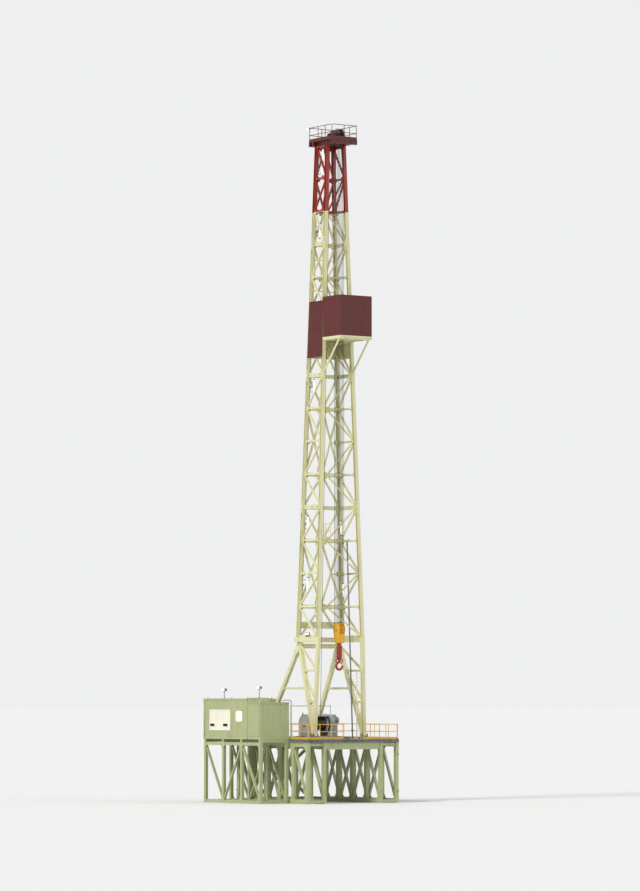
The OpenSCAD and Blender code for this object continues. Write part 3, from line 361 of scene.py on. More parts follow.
for method, sum_kind in (("__add__", "ADD"), ("__radd__", "ADD"), ("__sub__", "SUBTRACT"), ("__mul__", "MULTIPLY"),
                         ("__rmul__", "MULTIPLY"), ("over", "GREATER_THAN"), ("mod", "FLOORED_MODULO")):
    setattr(Val, method, lambda self, o, op=sum_kind: self.net.math(op, self, o))


class Net:
    """Nodes of one material."""

    def __init__(self, name):
        self.mat = bpy.data.materials.new(name)
        self.mat.use_nodes = True
        self.tree = self.mat.node_tree
        self.tree.nodes.clear()
        self.shader = self.tree.nodes.new("ShaderNodeBsdfPrincipled")
        out = self.tree.nodes.new("ShaderNodeOutputMaterial")
        self.tree.links.new(self.shader.outputs["BSDF"], out.inputs["Surface"])
        self._place = None

    def node(self, kind, values, **settings):
        """Makes a node, sets it, joins its inputs, and gives back its outputs by name."""
        n = self.tree.nodes.new(kind)
        for key, value in settings.items():
            setattr(n, key, value)
        for key, value in values.items():
            self.feed(n.inputs[key], value)
        return {o.name: Val(self, o) for o in n.outputs if o.enabled}

    def feed(self, socket, value):
        if isinstance(value, Val):
            self.tree.links.new(value.socket, socket)
        else:
            socket.default_value = value

    def math(self, op, *terms):
        return self.node("ShaderNodeMath", dict(enumerate(terms)), operation=op)["Value"]

    @property
    def place(self):
        if self._place is None:
            self._place = self.node("ShaderNodeTexCoord", {})["Object"]
        return self._place

    @property
    def xyz(self):
        out = self.node("ShaderNodeSeparateXYZ", {"Vector": self.place})
        return out["X"], out["Y"], out["Z"]

    def noise(self, scale, detail=4.0, rough=0.55, stretch=None):
        where = self.place
        if stretch:
            where = self.node("ShaderNodeVectorMath", {0: where, 1: stretch}, operation="MULTIPLY")["Vector"]
        return self.node("ShaderNodeTexNoise", {"Vector": where, "Scale": scale, "Detail": detail,
                                                "Roughness": rough})["Fac"]

    def tone(self, scale, detail, amount):
        """A factor round 1 that varies with noise."""
        return (self.noise(scale, detail) - 0.5) * amount + 1.0

    def mix(self, factor, a, b, blend="MIX"):
        n = self.tree.nodes.new("ShaderNodeMix")
        n.data_type, n.blend_type = "RGBA", blend
        for i, value in ((0, factor), (6, a), (7, b)):
            self.feed(n.inputs[i], value)
        return Val(self, n.outputs[2])

    def tint(self, colour, factor):
        """Colour times a factor that varies."""
        grey = self.node("ShaderNodeCombineColor", {"Red": factor, "Green": factor, "Blue": factor})["Color"]
        return self.mix(1.0, colour, grey, "MULTIPLY")

    def bump(self, height, strength, distance):
        return self.node("ShaderNodeBump", {"Height": height, "Strength": strength, "Distance": distance})["Normal"]

    def set(self, **values):
        names = {"color": "Base Color", "rough": "Roughness", "metal": "Metallic", "normal": "Normal",
                 "coat": "Coat Weight", "coat_rough": "Coat Roughness", "glow": "Emission Color",
                 "glow_strength": "Emission Strength", "specular": "Specular IOR Level"}
        for key, value in values.items():
            self.feed(self.shader.inputs[names[key]], value)
        return self.mat


def rgb(*channels):
    """Linear colour from the sRGB values 0 to 255."""
    return (*((c / 255 / 12.92) if c / 255 <= 0.04045 else ((c / 255 + 0.055) / 1.055) ** 2.4 for c in channels), 1.0)


RUST, GRIME = rgb(96, 52, 30), rgb(74, 68, 52)


def paint(name, colour, grime=0.42, rust=0.35, gloss=0.42, second=None):
    """Weathered enamel: patches of fading, streaks running down, specks of rust, orange-peel bump."""
    net = Net(name)
    z = net.xyz[2]
    fade = net.tone(0.55, 3.0, 0.24)
    patch = net.tone(3.4, 5.0, 0.12)
    base = colour
    if second:
        other, height, spread_z = second
        edge = (z + (net.noise(2.0, 2.0) - 0.5) * spread_z).between(height - spread_z, height + spread_z)
        base = net.mix(edge, colour, other)
    base = net.tint(base, fade * patch)
    streak = net.noise(1.0, 5.0, 0.6, stretch=(11.0, 11.0, 0.55))
    blotch = net.noise(1.7, 4.0, 0.6)
    dirt = ((streak - 0.52) * 2.6 + (blotch - 0.52) * 1.8).clip() * grime
    base = net.mix(dirt, base, GRIME)
    rusted = (net.noise(9.0, 8.0, 0.7) + (blotch - 0.5) * 0.45).between(0.66, 0.74) * rust
    base = net.mix(rusted, base, RUST)
    rough = dirt * 0.22 + rusted * 0.34 + (net.noise(14.0, 3.0) - 0.5) * 0.10 + gloss
    height = net.noise(60.0, 2.0) * 0.35 + rusted * 0.8 + net.noise(5.0, 3.0) * 0.5
    return net.set(color=base, rough=rough.clip(), normal=net.bump(height, 0.35, 0.004), coat=0.12, coat_rough=0.28)


# Cream paint with a yellow-green cast; the cast is painted light of the mast's lamps
LAMP_TINTED_CREAM, RED = rgb(217, 213, 167), rgb(152, 44, 27)
RED_FROM = (BASE_Z + BAY * 13) / 1000 - 0.03
mast_paint = paint("mast_enamel", LAMP_TINTED_CREAM, rust=0.30)
top_paint = paint("mast_top_enamel", LAMP_TINTED_CREAM, grime=0.40, second=(RED, RED_FROM, 0.012))
red_paint = paint("red_enamel", RED, grime=0.38)
# Very dark red: red paint darkened as painted shade of the unlit outsides of the windwalls and crown
shaded_red_paint = paint("shaded_red_enamel", rgb(90, 25, 23), rust=0.4, gloss=0.5)
yellow_paint = paint("safety_yellow_enamel", rgb(224, 168, 34))
sage_paint = paint("sage_enamel", rgb(168, 174, 128), grime=0.40, rust=0.22)
grey_paint = paint("machine_grey_enamel", rgb(126, 130, 126), grime=0.6)
pale_paint = paint("pale_grey_enamel", rgb(172, 176, 172), grime=0.5, rust=0.25)
white_paint = paint("white_enamel", rgb(232, 228, 208), grime=0.22, rust=0.10, gloss=0.3)


def steel(name, colour, rough, grease=0.5):
    net = Net(name)
    tone = net.tone(6.0, 5.0, 0.5)
    wet = net.noise(2.6, 4.0).between(0.42, 0.62) * grease
    base = net.mix(wet, net.tint(colour, tone), rgb(34, 30, 26))
    rusted = net.noise(11.0, 7.0, 0.7).between(0.6, 0.7) * 0.5
    base = net.mix(rusted, base, RUST)
    rough = (net.noise(20.0, 3.0) * 0.2 + rough - wet * 0.12).clip()
    return net.set(color=base, metal=(1.0 - rusted) * 0.85, rough=rough,
                   normal=net.bump(net.noise(70.0, 3.0), 0.25, 0.002))


bare_steel = steel("greased_steel", rgb(118, 116, 112), 0.32)
dark_steel = steel("dark_steel", rgb(74, 74, 74), 0.4)


def rope(name):
    """Wire rope: strands as slanted ridges, from the tube's own UVs."""
    net = Net(name)
    uv = net.node("ShaderNodeTexCoord", {})["UV"]
    part = net.node("ShaderNodeSeparateXYZ", {"Vector": uv})
    turn = (part["X"] * 6.0 + part["Y"] * 55.0).mod(1.0)
    ridge = 1.0 - (turn - 0.5) * (turn - 0.5) * 4.0
    strand = net.tint(rgb(104, 100, 92), net.tone(5.0, 4.0, 0.5))
    base = net.mix(ridge.between(0.0, 0.7), rgb(26, 24, 22), strand)
    return net.set(color=base, metal=0.7, rough=0.45, normal=net.bump(ridge, 0.8, 0.003))


rope_steel = rope("wire_rope")


def deck_plate():
    """Chequer plate: raised lozenges in two directions, mud in patches, dark seams between the plates."""
    net = Net("chequer_plate")
    x, y, _ = net.xyz
    a, b = (x + y) * 14.0, (x - y) * 14.0
    cell = (a - a.mod(1.0) + b - b.mod(1.0)).mod(2.0).over(0.5)
    u, v = a.mod(1.0) - 0.5, b.mod(1.0) - 0.5
    ways = [net.node("ShaderNodeCombineXYZ", {"X": p, "Y": q, "Z": 0.0})["Vector"] for p, q in ((u, v), (v, u))]
    part = net.node("ShaderNodeSeparateXYZ", {"Vector": net.mix(cell, *ways)})
    d = part["X"] * part["X"] * 5.5 + part["Y"] * part["Y"] * 60.0
    lozenge = 1.0 - d.between(0.6, 1.0)
    seam_x, seam_y = (net.math("ABSOLUTE", (c * 0.8 + start).mod(1.0) - 0.5).between(0.0, 0.012)
                      for c, start in ((x, 0.27), (y, 0.41)))
    seam = 1.0 - seam_x * seam_y
    mud = net.noise(1.9, 6.0, 0.65).between(0.48, 0.66)
    base = net.tint(rgb(118, 120, 116), net.tone(1.1, 5.0, 0.5))
    base = net.mix(lozenge * 0.35, base, rgb(150, 150, 146))
    base = net.mix(mud * 0.55, base, rgb(92, 80, 62))
    base = net.mix(seam * 0.8, base, rgb(40, 38, 34))
    height = lozenge - seam * 1.5 + net.noise(30.0, 2.0) * 0.2
    return net.set(color=base, metal=0.25, rough=(0.5 + mud * 0.25 - lozenge * 0.08).clip(),
                   normal=net.bump(height, 0.7, 0.004))


deck_steel = deck_plate()


def lamp_glow(name, colour, strength):
    net = Net(name)
    tinted = net.tint(colour, net.tone(7.0, 3.0, 0.08))
    return net.set(color=tinted, rough=0.35, glow=tinted, glow_strength=strength,
                   normal=net.bump(net.noise(80.0, 2.0), 0.2, 0.001))


lamp_glass = lamp_glow("lamp_diffuser", rgb(255, 252, 236), 0.9)
# The cabin window glows as painted light of the lit cabin inside; the glass itself is no lamp
lit_window = lamp_glow("lit_window_glass", rgb(255, 244, 200), 0.55)
beacon_red = lamp_glow("beacon_lens", rgb(224, 60, 44), 0.5)

# Materials of the CAD nodes, by words in their names
LOOKS = (
    (top_paint, "_panel_top knee_braces"), (shaded_red_paint, "windwall crown_frame crown_platform"), (red_paint, "hook"),
    (yellow_paint, "floor_handrails travelling_block"), (pale_paint, "drawworks floor_pipes"),
    (sage_paint, "substructure cabin_supports cabin_walls cabin_roof cabin_door short_cabin"),
    (deck_steel, "drill_floor"), (grey_paint, "rotary_table leg_shoes crown_lamp standpipe cabin_floor cabin_lamps"),
    (bare_steel, "crown_sheaves"), (rope_steel, "drilling_lines fast_line"), (lamp_glass, "mast_lamps"),
    (lit_window, "cabin_window"), (white_paint, "sign_board"),
)
for name, obj in NODES.items():
    look = next((m for m, words in LOOKS if any(w in name for w in words.split())), mast_paint)
    for i in range(len(obj.material_slots)):
        obj.material_slots[i].material = look

# Drilling lines
lines = Form("drilling_line_ropes")
for i in range(4):
    x = (i - 1.5) * SHEAVE_PITCH
    for s in SIDES:
        lines.rod((x, -WELL_Y + s * ROPE_R, BLOCK_Z), (x, -WELL_Y + s * ROPE_R, AXLE_Z), LINE_R, 12)
ropes = lines.make(rope_steel, slot="steel", replaces=("drilling_lines",))
tuple(metres((0, -WELL_Y, AXLE_Z)))
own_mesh(ropes)


def bolt_heads(kind, radius, material, body="root"):
    """One object with all the bolt heads of a kind: a hexagon head on every noted point, by Geometry Nodes."""
    mesh = bpy.data.meshes.new(kind + "_points")
    mesh.from_pydata([p for p, n in BOLTS[kind]], [], [])
    attr = mesh.attributes.new("head_normal", "FLOAT_VECTOR", "POINT")
    attr.data.foreach_set("vector", [c for p, n in BOLTS[kind] for c in n])
    carrier = link(kind + "_points", mesh)

    head, r = Form(kind + "_head"), radius
    head.lathe((0, 0, 0), UP, [(0, r * 1.35), (r * 0.2, r * 1.35), (r * 0.2, r * 0.98)], 12, False)
    head.lathe((0, 0, 0), UP, [(r * 0.2, r), (r * 0.75, r), (r * 0.85, r * 0.8)], 6, False)
    shape = bpy.data.meshes.new(kind + "_head")
    shape.from_pydata([Vector(v) / 1000 for v in head.verts], [], head.faces)
    template = link(kind + "_head", shape)

    group = bpy.data.node_groups.new(kind + "_spread", "GeometryNodeTree")
    inputs = {}
    for name, way, sort in (("Geometry", "INPUT", "Geometry"), ("Head", "INPUT", "Object"),
                            ("Material", "INPUT", "Material"), ("Geometry", "OUTPUT", "Geometry")):
        inputs[name] = group.interface.new_socket(name, in_out=way, socket_type="NodeSocket" + sort)
    start, points, info, normal, turn, copy, real, finish, end = (group.nodes.new(n) for n in (
        "NodeGroupInput", "GeometryNodeMeshToPoints", "GeometryNodeObjectInfo", "GeometryNodeInputNamedAttribute",
        "FunctionNodeAlignRotationToVector", "GeometryNodeInstanceOnPoints", "GeometryNodeRealizeInstances",
        "GeometryNodeSetMaterial", "NodeGroupOutput"))
    normal.data_type, turn.axis = "FLOAT_VECTOR", "Z"
    normal.inputs["Name"].default_value = "head_normal"
    for a, out, b, into in (
            (start, "Geometry", points, "Mesh"), (start, "Head", info, "Object"), (normal, "Attribute", turn, "Vector"),
            (points, "Points", copy, "Points"), (info, "Geometry", copy, "Instance"),
            (turn, "Rotation", copy, "Rotation"), (copy, "Instances", real, "Geometry"),
            (real, "Geometry", finish, "Geometry"), (start, "Material", finish, "Material"),
            (finish, "Geometry", end, "Geometry")):
        group.links.new(a.outputs[out], b.inputs[into])
    mod = carrier.modifiers.new("spread", "NODES")
    mod.node_group = group
    mod[inputs["Head"].identifier] = template
    mod[inputs["Material"].identifier] = material
    bpy.context.view_layer.update()
    made = bpy.data.meshes.new_from_object(carrier.evaluated_get(bpy.context.evaluated_depsgraph_get()))
    made.name = kind
    obj = link(kind, made)
    bpy.data.objects.remove(carrier)
    bpy.data.objects.remove(template)
    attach(obj, body)


# Mast: plates at the joints
JOINTS = (4, 8, 12)
GUSSET = (GIRT_T / 2, 8)


def gusset_spans(v, k, rise):
    """Edges of the gusset plates at a level: split at a section joint, on one side only at the mast's ends."""
    if k == 0:
        return [(v + RING_W / 2 + 5, v + RING_W / 2 + rise)]
    above, below = (v + 5, v + rise), (v - rise, v - 5)
    if k == LEVELS:
        return [below]
    return [above, below] if k in JOINTS else [(v - rise, v + rise)]


side_gussets = Form("side_gusset_plates")
for s in SIDES:
    for k in range(LEVELS + 1):
        v, edge = side_v(k), half_d(k) - LEG_W / 2 + 4
        for e in SIDES:
            reach, rise = (165, 125) if (k % 2 == 0) == (e < 0) else (115, 80)
            for low, high in gusset_spans(v, k, rise):
                near = (low, low + 60) if k == 0 else (max(low, v - 38), min(high, v + 38))
                tip, mid = e * (edge - reach), sum(near) / 2
                heads = ((28, (high - mid) * 0.6), (28, (low - mid) * 0.6), (62, 0), (100, 0))
                side_gussets.pair(on_side(s), [(e * edge, low), (tip, near[0]), (tip, near[1]), (e * edge, high)],
                                  *GUSSET, [(e * (edge - dy), mid + dv) for dy, dv in heads])
side_gussets.make(top_paint)

rear_gussets = Form("rear_gusset_plates")
for k in range(LEVELS + 1):
    v, w = rear_v(k), half_w(k) - LEG_T / 2
    rise = 150 if k in (*JOINTS, LEVELS) else 110 if k % 4 == 2 else 120
    for low, high in gusset_spans(v, k, rise):
        a, b = max(low, v - 60), max(low + 50, min(high, v + 60))
        for s in SIDES:
            rear_gussets.pair(on_rear, [(s * w, low), (s * (w - 110), a), (s * (w - 110), b), (s * w, high)], *GUSSET)
    if k % 2:
        top = v + (130 if k != LEVELS else 0)
        rear_gussets.pair(on_rear, [(-190, v - 130), (190, v - 130), (190, top - 40), (110, top), (-110, top),
                                    (-190, top - 40)],
                          *GUSSET, [(x, v + dv) for x in (-150, -60, 60, 150) for dv in (-85, 45)])
rear_gussets.make(top_paint)

splices = Form("leg_splice_plates")
for s in SIDES:
    for k in JOINTS:
        v = side_v(k)
        for e in SIDES:
            y = e * half_d(k)
            splices.pair(on_side(s), rect(y - 40, v - 230, y + 40, v + 230), LEG_T / 2, 11,
                         [(y + dy, v + g * dv) for dy in (-20, 20) for g in SIDES for dv in (75, 135, 195)])
            y -= e * 55
            splices.box((y - 6, v - 170, -48), (y + 6, v + 170, 48), on_side(s))
splices.make(top_paint)

# Tube lamps: side, level and distance from the mast's middle
LAMPS = [(-1, 14.7, 40), (-1, 14.3, 40), (-1, 12.4, 90), (-1, 7.65, 200), (-1, 3.5, 330), (1, 3.4, 400),
         (-1, 1.65, 260), (1, 1.5, 400)]
tubes, holders = Form("lamp_tubes"), Form("lamp_holders")
for s, k, y in LAMPS:
    place, edge, v, out = on_side(s), half_d(k) - LEG_W / 2, side_v(k), -(GIRT_T / 2 + 34.4)
    y = min(y, edge - 60)
    tubes.rod(place(y, v - 250, out), place(y, v + 250, out), 27, 20)
    for e in SIDES:
        holders.rod(place(y, v + e * 240, out), place(y, v + e * 276, out), 30, 20)
        holders.rod(place(y, v + e * 276, out), place(y, v + e * 292, out), [30, 15], 20)
        at = v + e * 180
        holders.box((y - 4, at - 12, -58), (edge + 4, at + 12, -42), place)
        holders.tube([place(y + p, at, out + q) for p, q in circle(24, 31)], 4, 6, closed=True)
    for p, q in circle(4, 33, 0.5):
        holders.rod(place(y + p, v - 250, out + q), place(y + p, v + 250, out + q), 3, 6)
tubes.make(lamp_glass, slot="lamp_white", replaces=("mast_lamps",))
holders.make(grey_paint, slot="grey_paint")

# Windwalls of profiled sheet: dark red outside, painted shade of the unlit outer faces; pale cream inside, painted
# light of the lamps within
SHEET_D = 14


def sheet(form, at, width, v0, v1, depth=SHEET_D, pitch=92, t=2.5, inner_face_mat=1):
    """Profiled sheet: at(share across, v, out) places its points, and width gives the number of ribs."""
    ribs = max(2, round(width / pitch))
    line = [((i + f) / ribs, h) for i in range(ribs) for f, h in ((0.0, 0), (0.38, 0), (0.5, 1), (0.88, 1))]
    line.append((1.0, 0))
    n = len(line)
    faces = [[i, i + 1, n + i + 1, n + i] for i in range(n - 1)]
    for i in range(n - 1):
        faces += [[2 * n + i, 3 * n + i, 3 * n + i + 1, 2 * n + i + 1], [i, 2 * n + i, 2 * n + i + 1, i + 1],
                  [n + i, n + i + 1, 3 * n + i + 1, 3 * n + i]]
    faces += [[0, n, 3 * n, 2 * n], [n - 1, 3 * n - 1, 4 * n - 1, 2 * n - 1]]
    start = len(form.mats)
    form.add([at(f, v, lift + h * (depth - t)) for lift in (0, t) for v in (v0, v1) for f, h in line], faces)
    # The inner face takes its own material: on the windwalls the pale mast enamel, painted light of the lamps inside
    # them
    form.mats[start:start + n - 1] = [inner_face_mat] * (n - 1)


def mast_windwall(half, lean, face, rail_out, place):
    """One side of the mast's windwall, with its three outer rails."""
    def reach(v):
        return half(v * math.cos(lean) / BAY)
    v0, v1 = side_at(BOARD_H - 700), side_at(BOARD_H + 1350)
    sheet(walls, lambda f, v, out: place(reach(v) * (2 * f - 1), v, face + out), 2 * half(9), v0, v1)
    for v in (v0 + 20, (v0 + v1) / 2, v1 - 20):
        wall_rails.box((-reach(v), v - 16, face + 12.8), (reach(v), v + 16, rail_out), place)


walls, wall_rails = Form("mast_windwall_sheets"), Form("mast_windwall_rails")
for s in SIDES:
    mast_windwall(half_d, LEAN_W, LEG_T / 2 + 0.6, LEG_T / 2 + 23, on_side(s))
mast_windwall(half_w, LEAN_D, LEG_W / 2 + 1.2, LEG_W / 2 + 24, on_rear)
# Outer faces in the dark red of painted shade, inner faces in the pale mast enamel as painted light
walls.make(shaded_red_paint, mast_paint, slot="red_paint", replaces=("mast_windwalls",))
wall_rails.make(shaded_red_paint, slot="red_paint")

board_lo, board_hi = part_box("board_windwall")
BX = (board_hi.x - board_lo.x) * 500
BY0, BY1 = board_lo.y * 1000 - SHIFT_Y, board_hi.y * 1000 - SHIFT_Y
BZ0, BZ1 = board_lo.z * 1000, board_hi.z * 1000
board_walls = Form("board_windwall_sheets")
corner_y = BY0 + SHEET_D + 1.2
for s in SIDES:
    sheet(board_walls, lambda f, v, out: (s * (BX - SHEET_D + out), corner_y + (BY1 - corner_y) * f, v),
          BY1 - BY0, BZ0, BZ1)
sheet(board_walls, lambda f, v, out: (-BX + 2 * BX * f, BY0 + SHEET_D - out, v), 2 * BX, BZ0, BZ1)
# Outer faces in the dark red of painted shade, inner faces in the pale mast enamel as painted light
board_walls.make(shaded_red_paint, mast_paint, slot="red_paint", replaces=("board_windwall",))
frames = Form("windwall_frames")
for z in (BZ0 + 24, (BZ0 + BZ1) / 2, BZ1 - 24):
    for s in SIDES:
        frames.box((s * (BX - 15), BY0 + 16, z - 20), (s * (BX - 45), BY1, z + 20))
    frames.box((-BX + 16, BY0 + 16, z - 20), (BX - 16, BY0 + 46, z + 20))
for s in SIDES:
    for y in (BY0 + 20, (BY0 + BY1) / 2, BY1 - 34):
        frames.box((s * (BX - 16), y, BZ0 + 2), (s * (BX - 50), y + 34, BZ1 - 2))
for x in (-BX * 0.45, 0, BX * 0.45):
    frames.box((x - 17, BY0 + 16, BZ0 + 2), (x + 17, BY0 + 50, BZ1 - 2))
frames.make(mast_paint)


# Crown: grating, kick plates, guards, lights
def grating(form, x0, x1, y0, y1, z, depth=10, pitch=30, t=4):
    """Bearing bars along x with cross rods, standing on z."""
    x0, x1 = sorted((x0, x1))
    y = y0 + t
    while y < y1 - t:
        form.box((x0, y - t / 2, z), (x1, y + t / 2, z + depth))
        y += pitch
    for x in spread(x0 + 3, x1 - 3, max(1, int((x1 - x0) / 100)) + 1):
        form.box((x - 2.5, y0, z + depth - 5), (x + 2.5, y1, z + depth + 1))


STAND_X = 2.5 * SHEAVE_PITCH + 24
HOLE_X, HOLE_Y0, HOLE_Y1 = STAND_X + 60, -WELL_Y - SHEAVE_R - 40, FAST_Y + SHEAVE_R + 60
DECK_UP, EDGE = 30.4, CROWN_HALF - 12
crown_deck = Form("crown_grating", CROWN_Z)
grating(crown_deck, -EDGE, EDGE, -CROWN_FRONT + 12, HOLE_Y0 - 6, DECK_UP)
grating(crown_deck, -EDGE, EDGE, HOLE_Y1 + 6, CROWN_REAR - 12, DECK_UP)
for s in SIDES:
    grating(crown_deck, s * (HOLE_X + 6), s * EDGE, HOLE_Y0, HOLE_Y1, DECK_UP)
crown_deck.make(grey_paint, slot="grey_paint")
crown_trim = Form("crown_kick_plates", CROWN_Z)
for s in SIDES:
    crown_trim.box((s * (CROWN_HALF - 4), -CROWN_FRONT + 4, DECK_UP - 2),
                   (s * (CROWN_HALF - 9), CROWN_REAR - 4, DECK_UP + 90))
    for y in (-CROWN_FRONT, CROWN_REAR - 90):
        for e in SIDES:
            crown_trim.box((s * CROWN_HALF, y + 41 + e * 38, -148), (s * (CROWN_HALF + 7), y + 49 + e * 38, -2))
for y in (-CROWN_FRONT + 4, CROWN_REAR - 9):
    crown_trim.box((-CROWN_HALF + 4, y, DECK_UP - 2), (CROWN_HALF - 4, y + 5, DECK_UP + 90))
for x, ys in ((-540, (-880, -450, 0, 540)), (0, (-880, 540)), (540, (-880, -450, 0, 540))):
    for y in ys:
        crown_trim.rod((x, y, DECK_UP), (x, y, DECK_UP + 44), 19, 12)
        if y in (-880, 540):
            for h in (RAIL_UP / 2 - 12, RAIL_UP - 12):
                crown_trim.lathe((x, y, h), UP, [(-18, 4), (-13, 15), (0, 18), (13, 15), (18, 4)], 12)
for y, e in ((-CROWN_FRONT, -1), (CROWN_REAR, 1)):
    for z in (-150, -14):
        crown_trim.box((-CROWN_HALF, y, z), (CROWN_HALF, y + e * 12, z + 12))
    for x in spread(8 - CROWN_HALF, CROWN_HALF - 8, 5):
        crown_trim.box((x - 4, y, -140), (x + 4, y + e * 11, -12))
crown_trim.make(shaded_red_paint, slot="red_paint")

guards = Form("sheave_guards", CROWN_Z)
GUARD_R = SHEAVE_R + 20
for y, half in ((-WELL_Y, 2 * SHEAVE_PITCH + 6), (FAST_Y, 24)):
    left, right = (-half, y, AXLE_UP), (half, y, AXLE_UP)
    for axle in (left, right):
        guards.tube(arc(axle, GUARD_R, 12, 168), 7, 8)
        for a in (12, 168):
            p = polar(axle, GUARD_R, a)
            guards.rod(p, (*p[:2], DECK_UP - 10), 7, 8)
    for a in (12, 51, 90, 129, 168):
        guards.rod(polar(left, GUARD_R, a), polar(right, GUARD_R, a), 5, 8)
    for s in SIDES:
        near, end = s * (STAND_X + 24), s * (STAND_X + 30)
        guards.lathe((near, y, AXLE_UP), (s, 0, 0), [(0, 62), (8, 62), (10, 58)], 32)
        guards.lathe((end, y, AXLE_UP), (s, 0, 0), [(-2, 56), (14, 56), (16, 52)], 6, False)
        guards.lathe((end, y, AXLE_UP), (s, 0, 0), [(12, 22), (24, 22), (28, 14)], 20)
        for at in (y - 50, y + 50):
            guards.prism([(near, 31), (near + s * 72, 31), (near, 170)], at - 5, at + 5, along_y)
guards.make(shaded_red_paint, slot="red_paint")

flood = Form("crown_floodlight", CROWN_Z)
lamp = Vector((-CROWN_HALF - 96, CROWN_REAR - 30, RAIL_UP - 60))
facing = Vector((-0.45, -0.72, -0.53)).normalized()
flood.lathe(lamp, -facing, [(-20, 68), (-14, 74), (-4, 70), (26, 46), (52, 38), (60, 26), (62, 0.001)], 32)
for i in range(6):
    flood.ring(lamp, -facing, 36, 50 - 2 * i, 28 + i * 5, 30 + i * 5, 32)
flood.rod(lamp - facing * 40, (-CROWN_HALF + 8, lamp.y + 14, lamp.z + 24), 13, 12)
flood.box((-CROWN_HALF - 4, lamp.y - 14, lamp.z + 2), (-CROWN_HALF + 42, lamp.y + 38, lamp.z + 46))
flood.mat = 1
flood.lathe(lamp + facing * 19, facing, [(-4, 64), (0, 64), (10, 44), (14, 0.001)], 32)
flood.make(grey_paint, lamp_glass, slot="grey_paint", replaces=("crown_lamp",))
small = Form("crown_corner_light", CROWN_Z)
small.rod((-540, -880, 530), (-540, -880, 556), 16, 12)
small.mat = 1
small.lathe((-540, -880, 556), UP, [(0, 24), (18, 26), (34, 18), (40, 0.001)], 20)
small.make(grey_paint, lamp_glass, slot="grey_paint")

# Racking board: walkway grating, finger latches, beams below
board = Form("board_grating", FLOOR_Z + BOARD_H + 0.4)
for s in SIDES:
    grating(board, s * 532, s * 676, BY0 + 180, BY1 - 6, 0)
grating(board, -674, 674, BY0 + 52, BY0 + 160, 0)
grating(board, -62, 62, BY0 + 180, -883, 0)
for i in range(6):
    y = -888 - 100 * i
    for s in SIDES:
        board.box((s * 132, y - 13, 0), (s * 520, y + 13, 5))
        board.box((s * 136, y - 20, 5), (s * 156, y + 20, 34))
        board.rod((s * 160, y, 24), (s * 236, y, 24), 8, 8)
        board.rod((s * 146, y, 5), (s * 146, y, 44), 6, 8)
        for x in (250, 400):
            board.box((s * x, y - 15, 5), (s * (x + 12), y + 15, 14))
board.make(mast_paint)
under = Form("board_underframe", FLOOR_Z + BOARD_H - 60)
for s in SIDES:
    for x in (525, 672):
        under.box((s * x, BY0 + 6, -46), (s * (x + 12), BY1 - 10, -0.4))
for y in (BY0 + 10, BY0 + 150, BY0 + 560, BY1 - 60):
    under.box((-672, y, -60), (672, y + 12, -10))
    under.box((-672, y, -66), (672, y + 44, -58))
under.make(mast_paint)

# Foot frames: plates at the joints, A-frame heads, flanges of the beams
feet = Form("foot_joint_plates")
for s in SIDES:
    side, slant = on_side(s), on_a_frame(s)
    for h in (UPPER_TIE_H, LOWER_TIE_H):
        y, v = front_leg_y(h) + 56, side_at(h)
        feet.pair(side, [(y, v - 95), (y + 95, v - 34), (y + 95, v + 34), (y, v + 95)], 38, 8,
                  [(y + 26, v + 50), (y + 26, v - 50), (y + 66, v)])
        y, v = slanted_y(h) - 74, a_at(h)
        feet.pair(slant, [(y + 28, v + 95), (y - 95, v + 34), (y - 95, v - 34), (y - 24, v - 95)], 38, 8,
                  [(y - 20, v + 40), (y - 34, v - 44), (y - 66, v)])
    y, v, ry = slanted_y(A_HEAD_H), a_at(A_HEAD_H), rear_leg_y(A_HEAD_H - 420)
    feet.pair(slant, [(y - 70, v + 40), (y - 56, v + 74), (y + 60, v + 74), (y + 96, v + 10),
                      (ry + 66, a_at(A_HEAD_H - 380)), (ry - 62, a_at(A_HEAD_H - 450)), (y - 118, v - 140),
                      (y - 100, v - 60)],
              65, 14, [(y + p, v + q) for p, q in ((-64, -90), (20, 52), (70, -60), (150, -170), (196, -262))])
    for face in SIDES:
        feet.lathe(slant(y, v, face * 79), outward(slant) * face,
                   [(0, 58), (12, 58), (12, 34), (26, 34), (30, 28)], 32)
    for y, e in ((rear_leg_y(TIE_H) - 62, -1), (slanted_y(TIE_H) + 62, 1)):
        v = a_at(TIE_H)
        feet.pair(slant, [(y - e * 36, v + 80), (y + e * 90, v + 36), (y + e * 90, v - 36), (y - e * 10, v - 80)], 30, 8)
    low, high = side_at(BEAM_LOW_H), side_at(BEAM_HIGH_H)
    for y0, y1, drop in ((56 - HALF_D_LOW, 190 - HALF_D_LOW, -110), (HALF_D_LOW - 40, HALF_D_LOW - 170, 2)):
        feet.pair(side, [(y0, low + drop), (y1, low + 30), (y1, high - 6), (y0, high - 6)], 38, 10)
feet.make(mast_paint)

beams = Form("beam_flanges", FLOOR_Z)
z0, z1 = BEAM_LOW_H, BEAM_HIGH_H
for y, e in ((HALF_D_LOW - 40, -1), (HALF_D_LOW + 80, 1)):
    beams.box((-780, y, z0), (780, y + e * 22, z0 + 14))
    beams.box((-776, y, z1 - 14.6), (776, y + e * 22, z1 - 0.6))
    for x in spread(-756, 756, 7):
        beams.box((x - 5, y, z0 + 13), (x + 5, y + e * 20, z1 - 14))
top = BEAM_LOW_H - 60
middle = slanted_y(top - 82)
xs = PIN_X - A_SLOPE * (top - PIN_H) - 68
for e in SIDES:
    y0, y1 = middle + e * 35, middle + e * 55
    for z in (top - 165, top - 12):
        beams.box((-xs, y0, z), (xs, y1, z + 12))
    for x in spread(60 - xs, xs - 60, 6):
        beams.box((x - 5, y0, top - 155), (x + 5, y1, top - 10))
beams.make(mast_paint)

